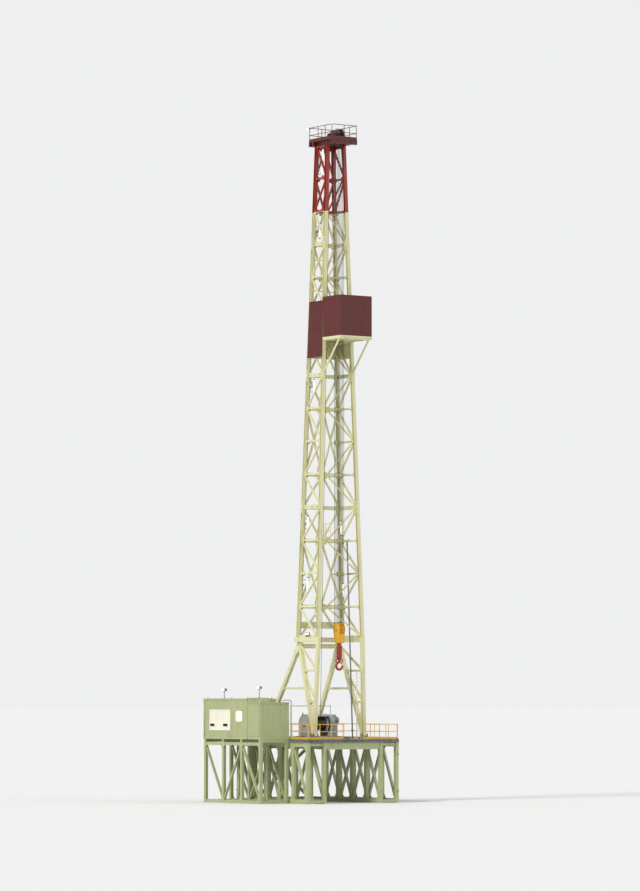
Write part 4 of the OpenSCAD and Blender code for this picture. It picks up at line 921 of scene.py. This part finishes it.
shoes = Form("shoe_fittings", FLOOR_Z, "floor_bolt_heads")
for s in SIDES:
    x = s * PIN_X
    for y, half in ((-FOOT_Y, 75), (REAR_FOOT_Y, 70)):
        for e in SIDES:
            face = x + e * (half + 30)
            shoes.ring((face, y, PIN_H), (e, 0, 0), PIN_R + 0.5, PIN_R + 24, 0, 9, 32)
            shoes.lathe((face + e * 5, y, PIN_H), (e, 0, 0), [(-1, PIN_R), (6, PIN_R - 3), (9, PIN_R - 9)], 32)
            shoes.box((face + e * 9, y - 22, PIN_H + 30), (face + e * 17, y + 22, PIN_H + 64))
            shoes.bolt((face + e * 17, y, PIN_H + 52), (e, 0, 0))
            for dy in (-80, 0, 80):
                if dy:
                    shoes.prism([(face, 20), (face + e * 56, 20), (face, 96)], y + dy - 6, y + dy + 6, along_y)
                shoes.bolt((face + e * 38, y + dy * 1.6, 20), UP)
        shoes.box((x - half - 96, y - 160, 0.4), (x + half + 96, y + 160, 20))
shoes.make(grey_paint, slot="grey_paint")

# Deck: edge channels, rail fittings, beacon
edge = Form("deck_edge_channels", FLOOR_Z)
for z in (-120, -12):
    for y, e in FLOOR_ENDS:
        edge.box((-FLOOR_HALF_W, y, z), (FLOOR_HALF_W, y + e * 26, z + 12))
    for s in SIDES:
        edge.box((s * FLOOR_HALF_W, -FLOOR_FRONT - 26, z), (s * (FLOOR_HALF_W + 26), FLOOR_REAR + 26, z + 12))
for x in spread(20 - FLOOR_HALF_W, FLOOR_HALF_W - 20, 14):
    for y, e in FLOOR_ENDS:
        edge.box((x - 4, y, -109), (x + 4, y + e * 22, -11))
for y in spread(20 - FLOOR_FRONT, FLOOR_REAR - 20, 16):
    for s in SIDES:
        edge.box((s * FLOOR_HALF_W, y - 4, -109), (s * (FLOOR_HALF_W + 22), y + 4, -11))
edge.make(grey_paint, slot="grey_paint")

RX, RF, RR = FLOOR_HALF_W - 30, 30 - FLOOR_FRONT, FLOOR_REAR - 30
RAIL_HEIGHTS = (272, 533)
rails = Form("handrail_fittings", FLOOR_Z, "floor_bolt_heads")
for p, q in (((450, RF), (RX - 24.4, RF)), ((RX, RF), (RX, RR)), ((RX - 24.4, RR), (-RX, RR)),
             ((-450, RF), (24.4 - RX, RF)), ((-RX, RF), (-RX, SY0 - 110))):
    p, q = Vector(p), Vector(q)
    posts = spread(p, q, math.ceil((q - p).length / 620) + 1)
    d = (q - p).normalized()
    side = Vector((-d.y, d.x))
    for c in posts:
        rails.rod((*c, 6), (*c, 66), 17, 12)
        rails.box((c.x - 28, c.y - 28, 0.5), (c.x + 28, c.y + 28, 9))
        for e in SIDES:
            rails.bolt((*(c + (d + side) * 20 * e), 9), UP)
        for h in RAIL_HEIGHTS:
            rails.lathe((*c, h), UP, [(-20, 5), (-14, 16), (0, 19), (14, 16), (20, 5)], 12)
    for a, b in zip(posts, posts[1:]):
        rails.box((*(a + d * 34 - side * 3), 8), (*(b - d * 34 + side * 3), 74))
rails.make(yellow_paint, slot="yellow_paint")

beacon = Form("floor_beacon", FLOOR_Z)
x, y = 26 - RX, -1056
beacon.rod((x, y, 1), (x, y, 900), 10, 10)
for h in RAIL_HEIGHTS:
    beacon.box((x - 42, y - 10, h - 10), (x + 12, y + 10, h + 10))
beacon.rod((x, y, 890), (x, y, 912), 32, 20)
beacon.mat = 1
beacon.lathe((x, y, 912), UP, [(0, 28), (30, 28), (46, 20), (54, 0.001)], 24)
beacon.make(grey_paint, beacon_red, slot="grey_paint")

# Rotary table, on its top face
table = Form("rotary_fittings", FLOOR_Z + 80.4, "floor_bolt_heads")
for r_in, r_out, high in ((178, 214, 9), (262, 270, 5), (384, 402, 6)):
    table.ring((0, -WELL_Y, 0), UP, r_in, r_out, 0, high, 64)
for x, y in circle(16, 330, 0.5):
    table.bolt((x, y - WELL_Y, 0), UP)
for x, y in circle(4, 228, 0.5):
    table.lathe((x, y - WELL_Y, 0), UP, [(0, 16), (12, 16), (16, 11)], 16)
table.make(bare_steel, slot="steel")

# Drawworks: brake covers, motor fins, cover over the drum, rope on the drum, brake bands
DRUM, MOTOR_UP = (0, DRUM_Y, DRUM_UP), 670.4
hoist = Form("drawworks_fittings", FLOOR_Z, "floor_bolt_heads")
for s in SIDES:
    out, face = (s, 0, 0), s * 560
    hoist.ring((face, *DRUM[1:]), out, 330, 352, 0, 8, 64)
    hoist.lathe((face, *DRUM[1:]), out, [(0, 96), (22, 96), (26, 90), (26, 60), (44, 56), (48, 46)], 40)
    for n, r, lift in ((20, 341, 8), (8, 76, 26)):
        for y, z in circle(n, r):
            hoist.bolt((face + s * lift, DRUM_Y + y, DRUM_UP + z), out)
    hoist.box((face, DRUM_Y - 330, 90), (face + s * 6, DRUM_Y + 330, 112))
    hoist.ring((s * 380, *DRUM[1:]), (-s, 0, 0), 326, 356, 0, 8, 64)
    for e in SIDES:
        y = DRUM_Y + e * 360
        for z in (200, 330, 460):
            hoist.box((s * 470 - 66, y, z), (s * 470 + 66, y + e * 14, z + 12))
hoist.box((554, DRUM_Y - 92, 1), (900, DRUM_Y + 92, 22))
for i in range(9):
    hoist.ring((596 + 30 * i, DRUM_Y, MOTOR_UP), (1, 0, 0), 128, 144, 0, 8, 40)
hoist.lathe((890, DRUM_Y, MOTOR_UP), (1, 0, 0), [(-2, 131), (14, 128), (34, 104), (40, 60), (40, 34), (52, 30)], 40)
hoist.box((640, DRUM_Y - 60, 790), (800, DRUM_Y + 60, 872))
hoist.box((634, DRUM_Y - 66, 868), (806, DRUM_Y + 66, 878))
for r_in, r_out, x0, x1 in ((360, 366, -376, 376), *((366, 374, x, x + 8) for x in (-372, -186, 0, 180, 366))):
    inner, outer = ([p[1:] for p in arc(DRUM, r, 28, 128, 18)] for r in (r_in, r_out))
    hoist.prism(outer + inner[::-1], x0, x1, along_x)
hoist.make(pale_paint, slot="grey_paint")
turns = Form("drum_rope", FLOOR_Z)
PITCH, SPAN = 17.0, 296.0
turns.tube([polar((-SPAN + PITCH * i / 24, *DRUM[1:]), DRUM_R + 8, 15 * i)
            for i in range(24 * int(2 * SPAN / PITCH))], 8, 8)
turns.make(rope_steel, slot="steel")
bands = Form("brake_bands", FLOOR_Z, "floor_bolt_heads")
for s in SIDES:
    centre = (s * 330, *DRUM[1:])
    bands.ring(centre, (s, 0, 0), 318, 334, -24, 24, 64)
    for a in range(0, 360, 30):
        bands.bolt(polar(centre, 334, a), polar((0, 0, 0), 1, a))
bands.make(dark_steel, slot="steel")
fast = Form("fast_line_rope")
fast.rod((0, FAST_Y + ROPE_R, AXLE_Z), (0, DRUM_Y - DRUM_R - LINE_R - 0.8, FLOOR_Z + DRUM_UP - 0.4), LINE_R, 12)
fast.make(rope_steel, slot="steel", replaces=("fast_line",))

# Travelling block and hook
block = Form("block_fittings", BLOCK_Z, "block_bolt_heads")
HUB, CHEEK, AXLE = 2 * SHEAVE_PITCH + 10, SHEAVE_R + 20, (0, -WELL_Y, 0)
outer = [polar(AXLE, CHEEK, a)[1:] for a in range(-8, 189, 14)] + [(-WELL_Y - 95, -516), (-WELL_Y + 95, -516)]
inner = [(-WELL_Y + (y + WELL_Y) * 0.86, -120 + (z + 120) * 0.93) for y, z in outer]
for s in SIDES:
    out = (s, 0, 0)
    block.lathe((s * HUB, -WELL_Y, 0), out,
                [(-2, 84), (10, 84), (14, 78), (14, 62), (22, 58), (24, 40), (24, 30)], 40)
    for y, z in circle(8, 71, 0.5):
        block.bolt((s * (HUB + 12), y - WELL_Y, z), out)
    block.frame(outer, inner, s * (HUB - 1), s * (HUB + 7), along_x)
    for z, r in ((-250, 16), (-380, 16), (-470, 20)):
        block.lathe((s * (HUB - 1), -WELL_Y, z), out,
                    [(0, r * 1.9), (6, r * 1.9), (6, r), (20, r), (24, r * 0.7)], 6, False)
for a in (35, 145, 215, 325):
    y, z = polar(AXLE, CHEEK - 16, a)[1:]
    block.rod((-HUB - 14, y, z), (HUB + 14, y, z), 9, 12)
for e in SIDES:
    y = e * 118 - WELL_Y
    block.box((12 - HUB, y - 5, -440), (HUB - 12, y + 5, -360))
block.make(yellow_paint, body="block", slot="yellow_paint")
gear = Form("hook_fittings", BLOCK_Z - 520.4, "block_bolt_heads")
for r_in, r_out, low, high in ((58, 84, -34, 0), (98, 112, -150, -122), (98, 110, -320, -306), (98, 112, -498, -462)):
    gear.ring(AXLE, UP, r_in, r_out, low, high, 40)
for x, y in circle(10):
    gear.bolt((112 * x, 112 * y - WELL_Y, -480), (x, y, 0))
gear.lathe((0, -WELL_Y, -500), UP, [(-30, 60), (-8, 96), (2, 100)], 40)
for e in SIDES:
    gear.tube([(e * x, -WELL_Y, z) for x, z in ((60, -560), (118, -570), (150, -610), (146, -656), (112, -680))],
              [22, 22, 20, 18, 16], 14)
    gear.ring((e * 66, -WELL_Y - 24, -560), (0, 1, 0), 10, 34, 0, 48, 24)
gear.prism([(20, -640), (52, -650), (118, -740), (104, -760), (20, -680)], -WELL_Y - 14, -WELL_Y + 14, along_y)
gear.rod((36, -WELL_Y - 26, -660), (36, -WELL_Y + 26, -660), 12, 12)
gear.make(red_paint, body="block", slot="red_paint")

# Cabins: profiled walls, corner posts, roof trims, door frames and leaf
skin, trim = Form("cabin_wall_sheets", FLOOR_Z), Form("cabin_trims", FLOOR_Z)
CABIN_SIDES = ((CX0, -1), (CX1, 1))
DOOR_W, DOOR_Y, SHORT_DOOR_Y = 380, CY0 + 800, (SY0 + SY1 - 380) / 2
LOW, TOP, SHORT_TOP = 105, 1400, 1270


def cabin_sheet(at, width, z0, z1):
    sheet(skin, at, width, z0, z1, depth=10, pitch=66, t=2, inner_face_mat=0)


def cabin_side(x, e, *spans):
    """Sheets (y0, y1, z0, z1) on one of the long sides."""
    for y0, y1, z0, z1 in spans:
        cabin_sheet(lambda f, v, out: (x + e * (0.5 + out), y0 + (y1 - y0) * f, v), y1 - y0, z0, z1)


cabin_side(CX0, -1, (CY0 + 40, 805, LOW, TOP), (805, 1265, LOW, 612), (805, 1265, 1053, TOP), (1265, 1580, LOW, TOP),
           (1580, 2950, LOW, 303), (1580, 2950, 1072, TOP), (2950, CY1 - 40, LOW, TOP),
           (SY0 + 40, SY1 - 40, LOW, SHORT_TOP))
for y, e, high in ((SY0, -1, SHORT_TOP), (CY1, 1, TOP)):
    cabin_sheet(lambda f, v, out: (CX0 + 40 + (CABIN_W - 80) * f, y + e * (0.5 + out), v), CABIN_W - 80, LOW, high)
for door, y0, y1, high in ((DOOR_Y, CY0, CY1, TOP), (SHORT_DOOR_Y, SY0, SY1, SHORT_TOP)):
    past = DOOR_W + (440 if door == DOOR_Y else 40)
    cabin_side(CX1, 1, (y0 + 40, door - 40, LOW, high), (door - 40, door + DOOR_W + 40, 1104, high),
               (door + past, y1 - 40, LOW, high))
skin.make(sage_paint, slot="green_paint")
for y0, y1, h in ((CY0, CY1, CABIN_H), (SY0, SY1, SHORT_H)):
    # Each end with its outward sign. Where the cabins meet it has no trim of its own.
    ends = ((y0, -1, y0 != CY0), (y1, 1, y1 != SY1))
    for x, e in CABIN_SIDES:
        for y, g, free in ends:
            trim.box((x, y, 2), (x + e * 13, y - g * 44, h - 42))
            if free:
                trim.box((x + e * 13, y, 2), (x - e * 44, y + g * 13, h - 42))
    for start, out, low, high in ((0, 22, h - 46, h + 6), (0.5, 15, 2, 100)):
        near, far = (y + g * out * free for y, g, free in ends)
        for x, e in CABIN_SIDES:
            trim.box((x + e * start, near, low), (x + e * out, far, high))
        for y, g, free in ends:
            if free:
                trim.box((CX0, y, low), (CX1, y + g * out, high))
for y in (CY0 + 120, CY1 - 120):
    for x in (CX0 + 90, CX1 - 90):
        trim.ring((x - 6, y, CABIN_H + 26), (1, 0, 0), 16, 34, 0, 12, 24)
        trim.box((x - 30, y - 30, CABIN_H + 0.5), (x + 30, y + 30, CABIN_H + 8))
for y in spread(CY0 + 316, CY1 - 316, 5):
    trim.box((CX0 + 10, y - 12, CABIN_H + 0.5), (CX1 - 10, y + 12, CABIN_H + 12))
for y0 in (DOOR_Y, SHORT_DOOR_Y):
    y1 = y0 + DOOR_W
    for a, b in ((y0 - 34, y0), (y1, y1 + 34)):
        trim.box((CX1, a, 60), (CX1 + 16, b, 1060))
    trim.box((CX1, y0 - 34, 1060), (CX1 + 16, y1 + 34, 1100))
    trim.box((CX1 - 70, y0 + 2, 60.6), (CX1 + 20, y1 - 2, 68))
leaf_x, leaf_y = CX1 + 30.4, DOOR_Y + DOOR_W + 4
for z in (180, 560, 940):
    trim.rod((CX1 + 24, leaf_y - 2, z), (CX1 + 24, leaf_y - 2, z + 70), 9, 12)
for z0, z1 in ((150, 520), (600, 980)):
    trim.frame(rect(leaf_y + 50, z0, leaf_y + 330, z1), rect(leaf_y + 66, z0 + 16, leaf_y + 314, z1 - 16),
               leaf_x - 1, leaf_x + 5, along_x)
trim.tube([(leaf_x + x, leaf_y + y, 560) for x, y in ((0, 344), (26, 344), (26, 290))], 7, 10)
for z in spread(SHORT_H + 24, SHORT_H + 128, 5):
    trim.box((CX0 - 8, SY0 + 90, z), (CX0 + 2, SY1 - 90, z + 9))
trim.frame(rect(SY0 + 70, SHORT_H + 16, SY1 - 70, SHORT_H + 154),
           rect(SY0 + 88, SHORT_H + 32, SY1 - 88, SHORT_H + 140), CX0 - 12, CX0 + 1, along_x)
for y, h in ((CY1 - 60, CABIN_H), (SY0 + 60, SHORT_H)):
    trim.rod((CX0 - 18, y, h - 40), (CX0 - 18, y, 60), 12, 12)
trim.make(sage_paint, slot="green_paint")

window = Form("window_frame", FLOOR_Z, "cabin_bolt_heads")
wy, wz = CY0 + 535, 832.5
window.frame(rounded(wy, wz, 436, 421, 84), rounded(wy, wz, 372, 357, 58), -6, 20, on_west)
window.frame(rounded(wy, wz, 380, 365, 60), rounded(wy, wz, 364, 349, 54), -12, 8, on_west)
for e in SIDES:
    for g in SIDES:
        for dy, dz in ((204, 120), (110, 196)):
            window.bolt(on_west(wy + e * dy, wz + g * dz, 20), (-1, 0, 0))
window.box((wy - 6, 656, 2), (wy + 6, 1009, 14), on_west)
window.box((wy - 230, 1052, 0), (wy + 230, 1060, 66), on_west)
window.make(white_paint, slot="panel_white")

panel = Form("panel_frame_and_vents", FLOOR_Z)
PY0, PY1, PZ0, PZ1 = CY0 + 1100, CY0 + 2430, 325, 1050
panel.frame(rect(PY0 - 16, PZ0 - 16, PY1 + 16, PZ1 + 16), rect(PY0 + 14, PZ0 + 14, PY1 - 14, PZ1 - 14), 2, 26, on_west)
for y in (PY0 + 443, PY0 + 886):
    panel.box((y - 5, PZ0 + 10, 16), (y + 5, PZ1 - 10, 20), on_west)
VENTS = (1894, 2740)
for y in VENTS:
    panel.frame(rect(y - 160, 447, y + 160, 567), rect(y - 144, 461, y + 144, 553), 16, 34, on_west)
panel.make(white_paint, slot="panel_white")
slats = Form("vent_slats", FLOOR_Z)
for y in VENTS:
    slats.box((y - 146, 459, 16.6), (y + 146, 555, 18), on_west)
    for z in spread(464, 540, 5):
        slats.prism([(CX0 - 18, z + 14), (CX0 - 32, z), (CX0 - 33, z + 3), (CX0 - 18, z + 17)],
                    y - 145, y + 145, along_y)
slats.make(dark_steel, slot="steel")

heads = Form("cabin_floodlights", FLOOR_Z, "cabin_bolt_heads")
for x, y, foot, rise in ((CX0 + 130, PY0 + 600, CABIN_H, 290), (CX0 + 170, SY0 + 320, SHORT_H + 164, 324)):
    z = foot + rise
    heads.mat = 0
    heads.rod((x, y, foot + 0.4), (x, y, z - 20), 14, 14)
    heads.lathe((x, y, foot + 0.4), UP, [(0, 44), (8, 44), (10, 40)], 20)
    for p, q in circle(4, 33, 0.5):
        heads.bolt((x + p, y + q, foot + 9), UP)
    heads.box((x - 12, y - 104, z - 24), (x + 12, y + 104, z - 12))
    for e in SIDES:
        heads.box((x - 12, y + e * 96, z - 24), (x + 12, y + e * 104, z + 50))
    heads.prism([(x + p, z + q) for p, q in ((-58, -2), (36, -2), (58, 40), (36, 78), (-58, 78))],
                y - 92, y + 92, along_y)
    for fin in spread(y - 84, y + 76, 9):
        heads.box((x + 20, fin, z + 4), (x + 66, fin + 4, z + 74))
    heads.box((x - 66, y - 96, z + 76), (x + 30, y + 96, z + 82))
    heads.mat = 1
    heads.box((x - 62, y - 84, z + 4), (x - 57, y + 84, z + 72))
heads.make(grey_paint, lamp_glass, slot="grey_paint", replaces=("cabin_lamps",))


# Substructure and cabin supports: plates at the posts, lifting eyes
def post_plates(form, x, out, t, ends, inset, n, top, halves, heights, heads_x, heads_z):
    """Plates at the foot and head of a row of posts, cut off at the row's ends, with bolt heads on them."""
    (wide, narrow), (low, middle, high) = halves, heights
    for y in spread(ends[0] + inset, ends[1] - inset, n):
        for z, e in ((0, 1), (top, -1)):
            outline = [(max(ends[0], min(ends[1], y + p)), z + e * q) for p, q in (
                (-wide, low), (wide, low), (wide, middle), (narrow, high), (-narrow, high), (-wide, middle))]
            form.prism(outline, x, x + out * t, along_x)
            for q in heads_z:
                for g in SIDES:
                    form.bolt((x + out * t, y + g * heads_x, z + e * q), (out, 0, 0))


plates = Form("substructure_plates", heads="floor_bolt_heads")
BOX_TOP = FLOOR_Z - 120.4
for s in SIDES:
    for x, face in ((1940, 1), (1240, -1)):
        post_plates(plates, s * (x + face * 55), s * face, 10, (-FLOOR_FRONT, FLOOR_REAR), 75, 6, BOX_TOP,
                    (150, 72), (16, 150, 290), 44, (60, 150, 240))
        for y, e in FLOOR_ENDS:
            for z in (420, BOX_TOP - 420):
                plates.ring((s * x, y, z), (0, e, 0), 26, 62, 0, 24, 24)
plates.make(sage_paint, slot="green_paint")
props = Form("cabin_support_plates", heads="cabin_bolt_heads")
for x, e in CABIN_SIDES:
    post_plates(props, x, e, 8, (SY0, CY1), 55, 4, FLOOR_Z - 110, (120, 54), (12, 110, 210), 32, (50, 140))
props.make(sage_paint, slot="green_paint")

# Mast: conduits with clamps, side lamp, girder clips, upper struts, standpipe unions, platform bracket
conduit = Form("lamp_conduits")
left, right, lamp_v = on_side(-1), on_side(1), side_at(BEAM_HIGH_H) + 60
for place, e in ((left, 1), (left, -1), (right, 1)):
    conduit.rod(*(place(e * (half_d(k) - LEG_W / 2 - 14), side_v(k), -52) for k in (0.15, 14.85)), 7, 8)
    for i in range(1, 30):
        k = i * 0.5 - 0.1
        edge, v = half_d(k) - LEG_W / 2, side_v(k)
        conduit.box((e * (edge - 14) - 11, v - 9, -62), (e * (edge + 3), v + 9, -42), place)
for s, k, _ in LAMPS:
    place, y, v = on_side(s), half_d(k) - LEG_W / 2 - 34, side_v(k)
    conduit.box((y - 26, v - 44, -84), (y + 30, v + 44, -42), place)
    conduit.tube([place(y, v - 44, -62), place(y, v - 120, -62), place(y + 18, v - 140, -54)], 6, 8)
conduit.rod(left(-40, lamp_v + 30, 56), left(-40, lamp_v - 52, 56), 7, 8)
conduit.make(grey_paint, slot="grey_paint")
side_lamp = Form("side_beam_lamp")
side_lamp.box((-150, lamp_v, 38), (70, lamp_v + 96, 78), left)
side_lamp.frame(rect(-158, lamp_v - 8, 78, lamp_v + 104), rect(-138, lamp_v + 12, 58, lamp_v + 84), 74, 92, left)
for y in (-120, 40):
    side_lamp.box((y - 10, lamp_v - 60, 44), (y + 10, lamp_v + 4, 60), left)
for y in (-88, -40, 8):
    side_lamp.box((y - 2, lamp_v + 4, 90), (y + 2, lamp_v + 92, 95), left)
side_lamp.mat = 1
side_lamp.box((-140, lamp_v + 10, 76), (60, lamp_v + 86, 86), left)
side_lamp.make(grey_paint, lamp_glass, slot="grey_paint")

girder = Form("rear_girder_clips")
k = (GIRDER_H - FOOT_H) / BAY
half, v, face = half_w(k) + LEG_T / 2, rear_v(k), LEG_W / 2 + 12.4
for s in SIDES:
    girder.box((s * (half - 20), v - 100, face), (s * (half - 112), v + 100, face + 10), on_rear)
    for dx in (42, 90):
        for dv in (-70, 0, 70):
            girder.bolt(on_rear(s * (half - dx), v + dv, face + 10), outward(on_rear))
girder.make(mast_paint)

extra = Form("upper_struts")
for k in (10.59, 11.53):
    w, v = half_w(k) - LEG_T / 2, rear_v(k)
    extra.box((-w, v - 17, -26), (w, v + 17, 14), on_rear)
extra.make(mast_paint)

pipe = Form("standpipe_fittings")
PIPE_Y, PIPE_OUT = -60, -(LEG_T / 2 + 26 + 59)
for h in (300, 1500, 2900, 4300, 5600, 6500):
    v = side_at(h)
    o = Vector(right(PIPE_Y, v, PIPE_OUT))
    pipe.lathe(o, Vector(right(PIPE_Y, v + 1, PIPE_OUT)) - o, [(0, 34), (8, 44), (34, 44), (44, 34)], 20)
    for t in (0, 2.1, 4.2):
        x, y, z = right(PIPE_Y + 44 * math.cos(t), v + 21, PIPE_OUT + 44 * math.sin(t))
        pipe.box((x - 8, y - 8, z - 12), (x + 8, y + 8, z + 12))
for k in (1, 2):
    pipe.tube([right(PIPE_Y + p, side_v(k), PIPE_OUT + q) for p, q in circle(24, 34)], 7, 8, closed=True)
pipe.make(grey_paint, slot="grey_paint")

STEP_H = 3625.0
steps = Form("side_platform_bracket", BASE_Z + STEP_H)
k = STEP_H / BAY
px, py = LEG_T / 2 / math.cos(LEAN_W) + 2 - half_w(k), -half_d(k) - 150
grating(steps, px + 4, px + 296, py + 4, py + 296, 40, 8, 24, 3)
high, low = Vector((py + 20, 0)), Vector((py + 94, -230))
aside = (low - high).orthogonal().normalized() * 12
steps.prism([high - aside, high + aside, low + aside, low - aside], px + 2, px + 26, along_x)
steps.box((px + 274, py + 20, -12), (px + 298, py + 280, 12))
steps.box((px, py, -24), (px + 300, py + 10, 70))
steps.make(mast_paint)

bolt_heads("mast_bolt_heads", 9, grey_paint)
bolt_heads("floor_bolt_heads", 8, grey_paint)
bolt_heads("cabin_bolt_heads", 6, sage_paint)
bolt_heads("block_bolt_heads", 9, grey_paint, "block")

# Camera, floor and light
scene = bpy.context.scene
scene.view_settings.view_transform, scene.view_settings.look = "Standard", "None"
centre, azimuth, distance = metres((0, 0, 0)), math.radians(-35), 148.9
camera = bpy.data.cameras.new("camera")
camera.lens, camera.sensor_width, camera.sensor_fit, camera.clip_end = 166.06, 36, "AUTO", 5000
eye = link("camera", camera)
eye.location = (centre.x + math.sin(azimuth) * distance, centre.y - math.cos(azimuth) * distance, 3.70)
eye.rotation_euler = (math.radians(90 + 3.54), 0, azimuth + math.radians(0.144))
scene.camera = eye

floor = bpy.data.meshes.new("studio_floor")
floor.from_pydata([(*p, -0.004) for p in rect(-1500, -1500, 1500, 1500)], [], [[0, 1, 2, 3]])
floor.materials.append(Net("studio_floor").set(color=(0.80, 0.80, 0.79, 1), rough=0.9, specular=0.1))
ground = link("studio_floor", floor)

world = bpy.data.worlds.new("studio")
scene.world = world
world.use_nodes = True
tree = world.node_tree
tree.nodes.clear()
ray, ambient, backdrop, blend, out = (tree.nodes.new("ShaderNode" + kind) for kind in (
    "LightPath", "Background", "Background", "MixShader", "OutputWorld"))
for node, colour, strength in ((ambient, (0.96, 0.98, 1.0, 1), 0.62), (backdrop, (0.86, 0.865, 0.87, 1), 1.0)):
    node.inputs["Color"].default_value = colour
    node.inputs["Strength"].default_value = strength
for a, b in ((ray.outputs["Is Camera Ray"], blend.inputs[0]), (ambient.outputs[0], blend.inputs[1]),
             (backdrop.outputs[0], blend.inputs[2]), (blend.outputs[0], out.inputs["Surface"])):
    tree.links.new(a, b)


def sun(name, az, el, strength, angle, colour):
    data = bpy.data.lights.new(name, "SUN")
    data.energy, data.angle, data.color = strength, math.radians(angle), colour
    link(name, data).rotation_euler = (math.radians(90 - el), 0, math.radians(az))


sun("key", -78, 42, 2.1, 14, (1.0, 0.985, 0.95))
sun("fill", 40, 30, 0.5, 30, (0.93, 0.96, 1.0))
